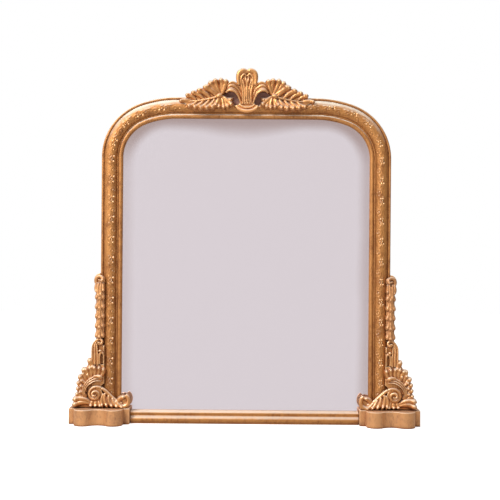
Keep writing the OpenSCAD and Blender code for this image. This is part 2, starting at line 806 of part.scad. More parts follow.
// the serrated leaf up the outer edge, the fluted curl over the volute and the leaf on the foot
leaf_foot = [outer_half + 42, plinth_h + 34];
leaf_head = [outer_half + 24, scroll_top - 88];
leaf_x = outer_half + 21;       // where the leaf on the foot meets the volute's own leaf
// the tips of the edge lobes, as height above the plinth and distance from the frame
leaf_edge = [[30, 87], [55, 80], [90, 76], [112, 72], [137, 59], [172, 37]];
module acanthus(s) {
    rib = leaf_head - leaf_foot;
    color(gold) on_panel() side(s) difference() {
        union() {
            // the leaf's body, under its lobes
            translate([outer_half, 0, carve_floor]) linear_extrude(carving_t * 0.45) polygon([
                [-18, scroll_top], [28, scroll_top], [32, leaf_head[1] + 12], [50, leaf_head[1] - 26],
                [64, leaf_head[1] - 58], [69, volute_c[1] + 4], [79, plinth_h + 24], [81, plinth_h],
                [20, plinth_h], [20, volute_c[1]], [-18, volute_c[1] + 40]
            ]);
            for (i = [0:edge_lobes - 1]) {
                t = i / (edge_lobes - 1);
                up = 34 + 138 * t;
                tip = [outer_half + lookup(up, leaf_edge), plinth_h + up];
                lobe(ray(tip, 212 + 40 * t, 34 + 24 * t), tip, 11.5 - t, carve_floor,
                    [carve_mid, carve_high + 5 - 5 * t, carve_mid - 1], 0.1, 0.76);
            }
            // flutes that come down from the scroll, and the leaf that turns up beside them
            fluted_band(
                [[flute_out - 4, scroll_top - 140], [flute_out - 5, scroll_top - 110], [flute_out, scroll_top - 80]],
                [[carve_in - 1, scroll_top - 142], [carve_in - 1, scroll_top - 112], [carve_in - 1, scroll_top - 80]],
                carve_floor, [carve_mid - 4, carve_high - 3, carve_high]
            );
            lobe(leaf_foot + 0.5 * rib, [outer_half - 9, scroll_top - 116], 11, carve_floor,
                [carve_mid, carve_high + 2, carve_high - 2], -0.16, 0.7);
            roll([for (i = [0:8]) let (t = i / 8)
                [each (leaf_foot + t * rib + [8 * sin(180 * t), 0]), carve_high, 6 - 3 * t]]);
            // the curl over the volute, from its right round to a tip at the stile
            curl = [for (i = [0:6]) -30 + 162 * i / 6];
            curl_out = [17, 17, 20, 25, 33, 40, 36];
            fluted_band(
                [for (i = [0:6]) ray(volute_c, curl[i], volute_r + curl_out[i])],
                [for (i = [0:6]) ray(volute_c, curl[i], volute_r + 4 + 15 * pow(i / 6, 3))],
                carve_floor,
                [for (i = [0:6]) carve_mid + 16 * sin(26 * i + 8)]
            );
            // leaf lying on the plinth
            for (p = [[92, 6, 13], [92, 25, 11]])
                lobe([outer_half + 20, plinth_h + 12], [outer_half + p[0], plinth_h + p[1]], p[2], carve_floor,
                    [carve_mid, carve_high + 10, carve_high + 2], 0.12, 0.7);
        }
        translate([each volute_c, 0]) cylinder(r = volute_r + 6, h = 200, $fn = 32);
        translate([flute_out + fit_gap - 200, scroll_top - 92 - fit_gap, 0]) cube([200, 200, 200]);
        translate([outer_half - 100, plinth_h - 100, 0]) cube([400, 100 + fit_gap, 200]);
        translate([0, 0, -1]) cube([carve_in, 2000, 200]);
        translate([leaf_x - 200, 0, 0]) cube([200, volute_c[1] + 4, 200]);
    }
}

// The stem that rises from the opening to the volute: [x, z, radius], from the frame's
// outer edge and the volute's middle.
foot_stem = [[-80, -32, 4], [-62, -27, 6.5], [-42, -12, 7.5], [-22, 7, 7.5], [-7, 19, 6.5]];
foot_datum = [outer_half, volute_c[1]];
stem_h1 = moulding_t + 9;
module stem_roll(first, more = []) {
    roll(concat([for (i = [first:len(foot_stem) - 1])
        let (p = foot_stem[i]) [foot_datum[0] + p[0], foot_datum[1] + p[1], stem_h1, p[2]]], more));
}

module volute(s) {
    wind = volute_r - 1;
    color(gold) on_panel() side(s) difference() {
        union() {
            intersection() {
                stem_roll(3, spiral_points(volute_c, wind, 2, 112, -650, stem_h1 + 1, carve_high + 18, 6.4, 4, 15));
                translate([each volute_c, 0]) cylinder(r = volute_r + 6 - fit_gap, h = 200, $fn = 32);
            }
            translate([each volute_c, carve_floor]) cylinder(r = wind, h = carving_t, $fn = 24);
            // the lip that falls from the spiral to the plinth, and the leaf inside it
            difference() {
                union() {
                    roll([for (i = [0:4]) let (a = 170 + 27 * i)
                        [volute_c[0] + 2 + 29 * cos(a), volute_c[1] - 10 + 34 * sin(a), carve_high - 4, 5 - 0.5 * i]]);
                    lobe(volute_c - [6, 12], volute_c - [-6, volute_up - 2], 17, carve_floor,
                        [carve_mid, carve_high - 2, carve_mid], 0.05, 0.8);
                }
                translate([leaf_x - fit_gap, 0, 0]) cube([100, 2 * volute_c[1], 200]);
            }
        }
        translate([outer_half - 100, plinth_h - 100, 0]) cube([400, 100 + fit_gap, 200]);
        translate([0, 0, -1]) cube([2000, 2000, carve_floor + 1]);
    }
}

// drooping lobes under the stem, and the hook that turns up into the opening
hook = [[-67, -40, 8], [-84, -43, 8.5], [-98, -37, 8], [-103, -23, 7.5], [-100, -8, 6.5], [-91, -2, 5.5]];
module foot_spray(s) {
    spray_low = moulding_t - 8;
    color(gold) on_panel() side(s) difference() {
        union() {
            stem_roll(0);
            for (i = [0:2])
                lobe(foot_datum - [13 + 18 * i, 13 * i - 1], [outer_half - 37 - 21 * i, plinth_h + 1], 12, spray_low,
                    [carve_high - 6, carve_high + 6, carve_high - 1], 0.05, 0.8);
            roll([for (p = hook) [foot_datum[0] + p[0], foot_datum[1] + p[1], moulding_t + 9, p[2]]]);
        }
        translate([volute_c[0] + 2, volute_c[1] - 10, 0]) scale([1, 1.12, 1])
            cylinder(r = volute_r + 9, h = 200, $fn = 32);
        translate([each volute_c, 0]) cylinder(r = volute_r + 6, h = 200, $fn = 32);
        rotate([-90, 0, 0]) translate([0, -y_back, 0]) stile_run(0, 400) bridged_shape();
        translate([0, plinth_h - 100, 0]) cube([2000, 100 + fit_gap, 200]);
    }
}

// steel plates across the joint of each console and stile, behind
plate_l = 60;
plate_w = 16;
plate_t = 2;
plate_zs = [0.3, 0.8];
plate_holes = [-22, -9, 9, 22];
plate_screw_l = 14;
function plate_z(k) = plinth_h + k * (scroll_top - plinth_h);
module plate_spots() {
    for (k = plate_zs) for (dx = plate_holes) translate([outer_half - 4 + dx, plate_z(k), -plate_t]) children();
}
module panel_plate_screw_holes() {
    plate_spots() wood_screw(plate_screw_l, pilot_gap);
}
module plate_screw_holes() {
    on_panel() panel_plate_screw_holes();
}
module mending_plates() {
    color(steel) on_panel() for (s = [-1, 1]) side(s) difference() {
        for (k = plate_zs)
            translate([outer_half - 4 - plate_l / 2, plate_z(k) - plate_w / 2, -plate_t]) cube([plate_l, plate_w, plate_t]);
        panel_plate_screw_holes();
    }
}
module plate_screws() {
    color(steel) on_panel() for (s = [-1, 1]) side(s) plate_spots() wood_screw(plate_screw_l);
}

// ---- hangers ----

hanger_x = outer_half - 24;
loop_y = y_back + loop_out;
hanger_holes = [38, 52];
hanger_screw_l = 16;
module hanger_spots() {
    for (d = hanger_holes) translate([hanger_x, hanger_z - d, -strap_t]) children();
}
module hanger_screw_holes() {
    on_panel() hanger_spots() wood_screw(hanger_screw_l, pilot_gap);
}
module hanger(s) {
    color(brass) side(s) difference() {
        union() {
            translate([hanger_x - strap_w / 2, y_back, hanger_z - strap_l + loop_out])
                cube([strap_w, strap_t, strap_l - loop_out]);
            translate([hanger_x - strap_w / 2, loop_y, hanger_z]) rotate([0, 90, 0]) cylinder(r = loop_out, h = strap_w);
        }
        translate([hanger_x - strap_w, loop_y, hanger_z]) rotate([0, 90, 0]) cylinder(r = loop_in, h = 2 * strap_w);
        hanger_screw_holes();
    }
}
module hanger_screws() {
    color(steel) on_panel() for (s = [-1, 1]) side(s) hanger_spots() wood_screw(hanger_screw_l);
}

// The ring: a bar through the loop, two short legs and a half-round bow below.
module ring(s) {
    leg = 6;
    wire_r = ring_wire / 2;
    r = ring_in / 2 + wire_r;
    color(brass) side(s) translate([hanger_x, loop_y, hanger_z]) {
        translate([-r, 0, 0]) rotate([0, 90, 0]) cylinder(r = wire_r, h = 2 * r);
        for (x = [-r, r]) {
            translate([x, 0, -leg]) cylinder(r = wire_r, h = leg);
            translate([x, 0, 0]) sphere(wire_r);
        }
        translate([0, 0, -leg]) rotate([-90, 0, 0]) rotate_extrude(angle = 180) translate([r, 0]) circle(wire_r);
    }
}

stile(-1);  // stile_left
stile(1);  // stile_right
corner(-1);  // corner_left
corner(1);  // corner_right
top_rail();
bottom_rail();
plinth(-1);  // plinth_left
plinth(1);  // plinth_right
corner_splines();
foot_dowels();
rail_dowels();
mirror_glass();
glazing_blocks();
backboard();
backboard_screws();
berries(-1);  // berries_left
berries(1);  // berries_right
berries_arch();
crest_plume();
crest_collar();
crest_foliage(-1);  // crest_foliage_left
crest_foliage(1);  // crest_foliage_right
crest_support();
crest_screws();
console_block(-1);  // console_block_left
console_block(1);  // console_block_right
husk_drop(-1);  // husk_drop_left
husk_drop(1);  // husk_drop_right
console_scroll(-1);  // console_scroll_left
console_scroll(1);  // console_scroll_right
acanthus(-1);  // acanthus_left
acanthus(1);  // acanthus_right
volute(-1);  // volute_left
volute(1);  // volute_right
foot_spray(-1);  // foot_spray_left
foot_spray(1);  // foot_spray_right
mending_plates();
plate_screws();
hanger(-1);  // hanger_left
hanger(1);  // hanger_right
hanger_screws();
ring(-1);  // ring_left
ring(1);  // ring_right
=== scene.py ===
import math
import bpy
import bmesh
import numpy as np
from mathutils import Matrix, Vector


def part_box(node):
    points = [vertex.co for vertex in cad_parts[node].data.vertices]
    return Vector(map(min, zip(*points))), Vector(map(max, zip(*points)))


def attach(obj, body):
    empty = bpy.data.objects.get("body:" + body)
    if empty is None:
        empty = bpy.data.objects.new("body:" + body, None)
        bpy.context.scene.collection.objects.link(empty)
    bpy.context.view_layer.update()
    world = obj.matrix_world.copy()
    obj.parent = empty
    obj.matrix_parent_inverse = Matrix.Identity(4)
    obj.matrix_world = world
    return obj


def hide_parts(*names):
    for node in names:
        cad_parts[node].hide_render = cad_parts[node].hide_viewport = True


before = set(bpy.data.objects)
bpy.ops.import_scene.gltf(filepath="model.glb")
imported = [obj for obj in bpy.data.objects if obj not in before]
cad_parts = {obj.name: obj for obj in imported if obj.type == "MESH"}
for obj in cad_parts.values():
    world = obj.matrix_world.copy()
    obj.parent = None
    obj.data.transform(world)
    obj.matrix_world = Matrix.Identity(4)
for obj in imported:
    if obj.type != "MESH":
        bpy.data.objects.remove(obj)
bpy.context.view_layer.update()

mm = 0.001

# the shot: camera and lamps, in metres

shot = {
    "distance": 3.394,      # in front of the part's own zero
    "across": 0.0146,
    "height": 0.6035,
    "rollDegrees": -0.45,
    "lens": 70.9,
    "sensor": 36,
    # each lamp: where it stands, what it is aimed at, its watts and the length of its sides
    "keyLamp": ((-2.0, -2.35, 2.7), (0, 0, 0.6), 108, 1.1),
    "fillLamp": ((-1.5, -1.9, 0.55), (-0.55, 0, 0.2), 6.5, 0.8),
}


def newObject(name, data):
    item = bpy.data.objects.new(name, data)
    bpy.context.collection.objects.link(item)
    return item


def makeCamera():
    camera = newObject("camera", bpy.data.cameras.new("camera"))
    camera.location = (shot["across"], -shot["distance"], shot["height"])
    camera.rotation_euler = (math.radians(90), math.radians(shot["rollDegrees"]), 0)
    camera.data.lens = shot["lens"]
    camera.data.sensor_width = shot["sensor"]
    bpy.context.scene.camera = camera


def makeLamp(name):
    place, aim, watts, size = shot[name]
    lamp = newObject(name, bpy.data.lights.new(name, "AREA"))
    lamp.location = place
    lamp.rotation_euler = (Vector(aim) - Vector(place)).to_track_quat("-Z", "Y").to_euler()
    lamp.data.energy = watts
    lamp.data.size = size


makeCamera()
makeLamp("keyLamp")
makeLamp("fillLamp")
bpy.context.scene.view_settings.view_transform = "Standard"
print("camera and lamps are set")


# shader maths

class Sock:
    # one output of a node, so that materials read as sums and products
    def __init__(self, tree, out):
        self.tree, self.out = tree, out

    def math(self, operation, other=None, swap=False, clamp=False):
        node = self.tree.nodes.new("ShaderNodeMath")
        node.operation = operation
        node.use_clamp = clamp
        for slot, item in enumerate((other, self) if swap else (self, other)):
            if isinstance(item, Sock):
                self.tree.links.new(item.out, node.inputs[slot])
            elif item is not None:
                node.inputs[slot].default_value = item
        return Sock(self.tree, node.outputs[0])

    def __add__(self, other):
        return self.math("ADD", other)

    def __sub__(self, other):
        return self.math("SUBTRACT", other)

    def __rsub__(self, other):
        return self.math("SUBTRACT", other, swap=True)

    def __mul__(self, other):
        return self.math("MULTIPLY", other)

    def __truediv__(self, other):
        return self.math("DIVIDE", other)

    def __rtruediv__(self, other):
        return self.math("DIVIDE", other, swap=True)

    def __pow__(self, other):
        return self.math("POWER", other)

    __radd__ = __add__
    __rmul__ = __mul__

    def clamped(self):
        return self.math("ADD", 0.0, clamp=True)

    def size(self):
        return self.math("ABSOLUTE")

    def atLeast(self, other):
        return self.math("MAXIMUM", other)


class Nodes:
    # adds nodes to one tree
    def __init__(self, tree):
        self.tree = tree

    def plug(self, socket, value):
        if isinstance(value, Sock):
            self.tree.links.new(value.out, socket)
        elif socket.type == "RGBA":
            socket.default_value = (*value, 1)
        else:
            socket.default_value = value

    # any node: its settings first, then the values or links of its sockets
    def add(self, kind, settings=None, sockets=None, out=0):
        node = self.tree.nodes.new(kind)
        for key, value in (settings or {}).items():
            setattr(node, key, value)
        for key, value in (sockets or {}).items():
            self.plug(node.inputs[key], value)
        return Sock(self.tree, node.outputs[out]) if node.outputs else None

    def blend(self, amount, first, second):
        # the Mix node's colour sockets are 6 and 7, and its colour comes out of 2
        return self.add("ShaderNodeMix", {"data_type": "RGBA"}, {0: amount, 6: first, 7: second}, out=2)

    def mixShaders(self, factor, first, second):
        return self.add("ShaderNodeMixShader", sockets={0: factor, 1: first, 2: second})

    def rayIs(self, kind):
        return self.add("ShaderNodeLightPath", out="Is " + kind + " Ray")


shaderSockets = {
    "colour": "Base Color",
    "roughness": "Roughness",
    "metallic": "Metallic",
    "normal": "Normal",
    "specular": "Specular IOR Level",
}


class Finish(Nodes):
    # a material with one Principled shader
    def __init__(self, name):
        self.material = bpy.data.materials.new(name)
        self.material.use_nodes = True
        super().__init__(self.material.node_tree)
        self.shader = self.tree.nodes["Principled BSDF"]
        self.place = self.add("ShaderNodeTexCoord", out="Object")

    def noise(self, scale, detail=3, rough=0.55, stretch=None):
        place = self.place
        if stretch:
            place = self.add("ShaderNodeMapping", sockets={"Vector": place, "Scale": stretch})
        return self.add("ShaderNodeTexNoise", {"noise_dimensions": "3D"},
                        {"Vector": place, "Scale": scale, "Detail": detail, "Roughness": rough}, out="Fac")

    def ramp(self, value, low, high):
        return self.add("ShaderNodeMapRange", {"clamp": True, "interpolation_type": "SMOOTHSTEP"},
                        {"Value": value, "From Min": low, "From Max": high}, out="Result")

    def part(self, vector, letter):
        return self.add("ShaderNodeSeparateXYZ", sockets={0: vector}, out=letter)

    def bump(self, height, strength, depth):
        return self.add("ShaderNodeBump", sockets={"Height": height, "Strength": strength, "Distance": depth})

    def feed(self, **values):
        for key, value in values.items():
            self.plug(self.shader.inputs[shaderSockets[key]], value)
        return self.material


# gilding

giltColours = {
    "leaf": (0.61, 0.260, 0.070),       # gold leaf at a middling tone
    "pale": (0.94, 0.64, 0.34),         # burnished edges and crowns, and a painted highlight on them
    "tonedAndShaded": (0.35, 0.123, 0.030),      # where the toning lies thick, and painted shade in hollows and creases
    "bole": (0.15, 0.042, 0.014),       # red-brown ground, in specks and in the deepest cuts, where it is also painted shade
    "paintedSheen": (0.91, 0.83, 0.70),       # a painted sheen on what faces up, where the light from above falls
    "bare": (0.40, 0.25, 0.12),         # ungilded wood behind
}

# scale, detail, roughness and stretch of the noise behind each kind of wear
giltGrain = {
    "patches": (11, 4, 0.62),
    "streaks": (46, 5, 0.68),
    "rubbed": (120, 4, 0.7, (1, 1, 0.35)),
    "specks": (300, 3, 0.6),
}

giltUsual = {
    "tone": 1.0,        # how light the gold is
    "depth": 0.016,     # how far off a neighbour still closes a hollow in
    "gather": 0.46,     # how open a hollow may be and still get bole and painted shade
    "wear": 1.0,        # burnish and a painted highlight on the edges
    "toning": 1.0,      # dark wash in patches
    "rough": 0.33,
    "metal": 0.78,
    "topSheen": 0.5,       # painted sheen on what faces up, where light from above falls
    "haze": 0.0,        # an even pale veil all over, added to the painted sheen
    "crisp": 1.0,       # how steep a bend has to be to count as an edge
}

# what differs from the usual: on the moulding, the bottom rail, the plinths, the carving, the husks and what
# stands out brightest, the berries and the crest's collar, whose lighter copy paints their highlight
giltKinds = {
    "gilt": dict(tone=0.76, wear=0.55, toning=1.3, gather=0.36, rough=0.5, metal=0.57, topSheen=0.95, crisp=1.25),
    "giltRail": dict(tone=0.82, rough=0.44, metal=0.62, topSheen=0.55),
    "giltPlain": dict(tone=0.89, depth=0.013, toning=1.2, rough=0.5, metal=0.45, haze=0.07, gather=0.86),
    "giltDeep": dict(tone=0.99, depth=0.011, wear=0.8, rough=0.36, haze=0.035, crisp=0.72),
    "giltHusk": dict(tone=0.90, depth=0.011, wear=0.45, rough=0.44, metal=0.6, topSheen=0.4, haze=0.05, crisp=1.2),
    "giltBright": dict(tone=1.32, depth=0.006, wear=1.2, toning=0.3, rough=0.32, topSheen=0.6, haze=0.05),
}


def giltFinish(name):
    kind = {**giltUsual, **giltKinds[name]}
    f = Finish(name)

    def tint(key):
        return tuple(min(1, part * kind["tone"]) for part in giltColours[key])

    openness = f.add("ShaderNodeAmbientOcclusion", {"samples": 6}, {"Distance": kind["depth"]}, out="AO")
    bend = f.add("ShaderNodeNewGeometry", out="Pointiness")
    normal = f.add("ShaderNodeNewGeometry", out="Normal")
    facing, turned = f.part(normal, "Z"), f.part(normal, "Y")
    patches, streaks, rubbed, specks = (f.noise(*grain) for grain in giltGrain.values())
    crisp, gather = kind["crisp"], kind["gather"]
    # how sharply the surface bends: crowns get burnish and a painted highlight, creases painted shade
    edge = f.ramp(bend, 0.5 + 0.005 * crisp, 0.5 + 0.08 * crisp)
    hollow = f.ramp(bend, 0.5 - 0.003 * crisp, 0.5 - 0.045 * crisp)
    # bole and painted shade where neighbours close in, read from ambient occlusion
    boleAndShade = f.ramp(openness + (streaks - 0.5) * 0.25, gather, gather - 0.38)
    wash = f.ramp(patches + (streaks - 0.5) * 0.9, 0.44, 0.66) * 0.4 + f.ramp(rubbed, 0.50, 0.66) * 0.5
    # toning in random patches, plus painted shade in hollows and creases
    tonedAndShaded = (wash * kind["toning"] + f.ramp(openness, 0.92, 0.40) * 0.4 + hollow * 0.6).clamped()
    # burnish, streaks of wear and a painted highlight on edges and crowns
    wornAndHighlit = (edge * 0.8 + f.ramp(streaks, 0.60, 0.76) * 0.25).clamped() * kind["wear"]
    behind = f.ramp(turned + (rubbed - 0.5) * 0.3, 0.55, 0.8)
    # flat tops, which face neither front nor back, keep less of the painted sheen
    kept = 0.25 + f.ramp(turned, 0.02, -0.3) * 0.75
    # painted sheen: lighter and less metallic where a face turns up to the light from above
    upward = f.ramp(facing + (streaks - 0.5) * 0.5, 0.10, 0.85) * (1 - hollow * 0.6)
    sheenAmount = upward * kind["topSheen"] * kept + kind["haze"]

    colour = f.blend(tonedAndShaded, tint("leaf"), tint("tonedAndShaded"))
    colour = f.blend(wornAndHighlit * (1 - boleAndShade * 0.9), colour, tint("pale"))
    colour = f.blend(sheenAmount * (1 - boleAndShade), colour, giltColours["paintedSheen"])
    colour = f.blend(boleAndShade * 0.72, colour, tint("bole"))
    colour = f.blend(f.ramp(specks, 0.66, 0.76) * 0.45, colour, tint("bole"))
    colour = f.blend(behind * (0.75 + rubbed * 0.25), colour, giltColours["bare"])
    uneven = (streaks - 0.5) * 0.25
    dull = boleAndShade * 0.35 + tonedAndShaded * 0.12 + sheenAmount * 0.2 + behind * 0.4
    return f.feed(
        colour=colour,
        roughness=(kind["rough"] + uneven + dull).clamped(),
        metallic=(kind["metal"] - boleAndShade * 0.6 - sheenAmount * 0.5 - behind).clamped(),
        normal=f.bump(streaks * 0.5 + rubbed * 0.3 + specks * 0.2, 0.4, 0.0008),
    )


# the glass, in metres, with the frame's shadow painted on it

glassAndPaintedShade = {
    "clear": (0.93, 0.845, 0.892),
    "paintedShadeTop": (0.545, 0.415, 0.398),   # painted shade: the frame's shadow on the glass, full close to the top
    "corner": 0.165,                    # radius of the opening's corners, which the shade follows
    "topBand": (0.20, 0.04),            # below the top edge, where the painted shade's darker top starts and is full
    "reach": 0.050,                     # how far in the shade runs from the edge
    "sag": 0.034,                       # how much farther it runs in the middle of the top
    "sagWide": 0.16,
    "roughness": 0.04,
}


def mirrorFinish(name, half, topEdge):
    f = Finish(name)
    x, z = f.part(f.place, "X"), f.part(f.place, "Z")
    # painted shade: the frame's shadow on the glass. It follows the opening's edge, is deepest and sags in the
    # middle under the top, and is lighter down the sides, stronger on the right
    corner = glassAndPaintedShade["corner"]
    besideEdge = (corner - (half - x.size())).atLeast(0.0)
    belowEdge = (corner - (topEdge - z)).atLeast(0.0)
    inside = corner - (besideEdge * besideEdge + belowEdge * belowEdge) ** 0.5
    haze = f.noise(5)
    starts, full = glassAndPaintedShade["topBand"]
    high = f.ramp(z, topEdge - starts, topEdge - full)
    sag = 1 - f.ramp((x / glassAndPaintedShade["sagWide"]).size(), 0.0, 1.4)
    reach = glassAndPaintedShade["reach"] + sag * high * glassAndPaintedShade["sag"] + (haze - 0.5) * 0.02
    shade = f.ramp(inside / reach, 1.0, 0.10)
    strength = 0.30 + high * 0.62 + f.ramp(x, 0.1, half) * (1 - high) * 0.25
    amount = (shade * strength + (haze - 0.5) * 0.04).clamped()
    return f.feed(
        colour=f.blend(amount, glassAndPaintedShade["clear"], glassAndPaintedShade["paintedShadeTop"]),
        metallic=0.96,
        roughness=glassAndPaintedShade["roughness"] + haze * 0.03,
    )


# woods and metals: pale tone, dark tone and, for a metal, roughness

plainStuff = {
    # the crest's support board in bole paint, whose dark tone is also painted shade seen through the crest's
    # pierced holes
    "boleAndShadeBoard": ((0.34, 0.20, 0.165), (0.20, 0.105, 0.085)),
    "backBoard": ((0.30, 0.17, 0.085), (0.17, 0.085, 0.04)),
    "pine": ((0.46, 0.29, 0.14), (0.32, 0.18, 0.08)),
    "zinc": ((0.42, 0.42, 0.43), (0.25, 0.25, 0.26), 0.34),
    "brass": ((0.55, 0.36, 0.12), (0.32, 0.19, 0.06), 0.28),
}


def boleAndShadeFinish(name):
    pale, dark = plainStuff[name]
    f = Finish(name)
    grain = f.noise(14, 4, 0.6, (1, 1, 14))
    return f.feed(colour=f.blend(grain, pale, dark), roughness=0.62 + grain * 0.2,
                  normal=f.bump(grain, 0.3, 0.0006))


def boardFinish(name):
    pale, dark = plainStuff[name]
    f = Finish(name)
    rings = f.noise(7, 5, 0.6, (24, 24, 0.6))
    fibres = f.noise(60, 3, 0.6, (9.6, 9.6, 0.18))
    colour = f.blend(f.ramp(rings, 0.35, 0.68), pale, dark)
    colour = f.blend(f.ramp(fibres, 0.55, 0.8) * 0.5, colour, tuple(part * 0.6 for part in dark))
    return f.feed(colour=colour, roughness=0.66 + fibres * 0.2,
                  normal=f.bump(rings * 0.4 + fibres * 0.6, 0.4, 0.0005))


def metalFinish(name):
    pale, dark, rough = plainStuff[name]
    f = Finish(name)
    wear = f.noise(90, 4, 0.6)
    scratches = f.noise(300, 2, 0.5, (1, 1, 8))
    return f.feed(colour=f.blend(f.ramp(wear, 0.42, 0.72), pale, dark), metallic=1.0,
                  roughness=rough + wear * 0.22, normal=f.bump(scratches, 0.25, 0.0001))


gilt, giltRail, giltPlain, giltDeep, giltHusk, giltBright = (giltFinish(name) for name in giltKinds)
print("gilding is mixed")


# sizes read from the frame, in millimetres

def cornersOf(name):
    low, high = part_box(name)
    return [v / mm for v in low], [v / mm for v in high]


stileLow, stileHigh = cornersOf("stile_right")
railHigh = cornersOf("top_rail")[1]
glassLow = cornersOf("mirror_glass")[0]
crestLow, crestHigh = cornersOf("crest_plume")
blockHigh = cornersOf("console_block_right")[1]
huskLow, huskHigh = cornersOf("husk_drop_right")
sightHalf, outerHalf = stileLow[0], stileHigh[0]
plinthTop, springZ = stileLow[2], stileHigh[2]
yBack = stileHigh[1]
outerTop, flatHalf = railHigh[2], railHigh[0]
crown = yBack - stileLow[1]
mouldingWide = outerHalf - sightHalf
sightTop = outerTop - mouldingWide
glassFace = yBack - glassLow[1]
crestTop = crestHigh[2]
crestBack, crestFront = yBack - crestHigh[1], yBack - crestLow[1]
print("moulding", mouldingWide, "wide and", crown, "deep; arch springs at", springZ)


def inPanel(x, z, h):
    # across, up, and out from the back of the frame
    return (x * mm, (yBack - h) * mm, z * mm)


def rayFrom(point, degrees, length):
    a = math.radians(degrees)
    return (point[0] + length * math.cos(a), point[1] + length * math.sin(a))


def smoothLine(stations, between=4):
    # a Catmull-Rom line through stations of any number of values
    if len(stations) < 3:
        first, last = stations[0], stations[-1]
        return [tuple(a + (b - a) * k / between for a, b in zip(first, last)) for k in range(between + 1)]
    padded = [stations[0]] + list(stations) + [stations[-1]]
    line = []
    for i in range(1, len(padded) - 2):
        p0, p1, p2, p3 = padded[i - 1:i + 3]
        for k in range(between):
            t = k / between
            line.append(tuple(
                0.5 * (2 * b + (c - a) * t + (2 * a - 5 * b + 4 * c - d) * t * t
                       + (3 * b - a - 3 * c + d) * t ** 3)
                for a, b, c, d in zip(p0, p1, p2, p3)))
    line.append(tuple(stations[-1]))
    return line


def spiral(centre, radii, startTurn, turn, heights, thicks, steps):
    # stations for a roll: radii, heights and thicks each run from a first to a last value
    def between(ends, t):
        return ends[0] + (ends[1] - ends[0]) * t

    line = []
    for i in range(steps + 1):
        t = i / steps
        x, z = rayFrom(centre, startTurn + turn * t, between(radii, t ** 0.8))
        line.append((x, z, between(heights, t), between(thicks, t)))
    return line


def ringOf(centre, radius, corners):
    return [rayFrom(centre, 360 * k / corners, radius) for k in range(corners)]


# meshes and how a dressed piece is placed

def skinFaces(start, loops, count):
    # four-sided faces between closed loops of points
    faces = []
    for i in range(loops - 1):
        for j in range(count):
            a, b = start + i * count + j, start + i * count + (j + 1) % count
            faces.append((a, b, b + count, a + count))
    return faces


def meshObject(name, points, faces):
    mesh = bpy.data.meshes.new(name)
    mesh.from_pydata(points, [], faces)
    bm = bmesh.new()
    bm.from_mesh(mesh)
    bmesh.ops.recalc_face_normals(bm, faces=bm.faces)
    bm.to_mesh(mesh)
    bm.free()
    return newObject(name, mesh)


def fuseAndEase(piece, voxel, rounds):
    # one skin over all the forms, then rounded as gesso rounds them
    fuse = piece.modifiers.new("fuse", "REMESH")
    fuse.mode = "VOXEL"
    fuse.voxel_size = voxel * mm
    ease = piece.modifiers.new("ease", "SMOOTH")
    ease.factor = 0.5
    ease.iterations = rounds
    fused = bpy.data.meshes.new_from_object(piece.evaluated_get(bpy.context.evaluated_depsgraph_get()))
    piece.modifiers.clear()
    piece.data = fused
    print(piece.name, len(fused.polygons), "faces")


def placePiece(piece, nodes, material):
    piece.data.shade_smooth()
    piece.data.materials.clear()
    piece.data.materials.append(material)
    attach(piece, "frame")
    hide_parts(*nodes)


def dressNode(name, material):
    # a node that keeps its CAD shape
    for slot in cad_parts[name].material_slots:
        slot.material = material
    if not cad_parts[name].material_slots:
        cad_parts[name].data.materials.append(material)


# carving: forms in panel space (x, z, height), gathered and then fused

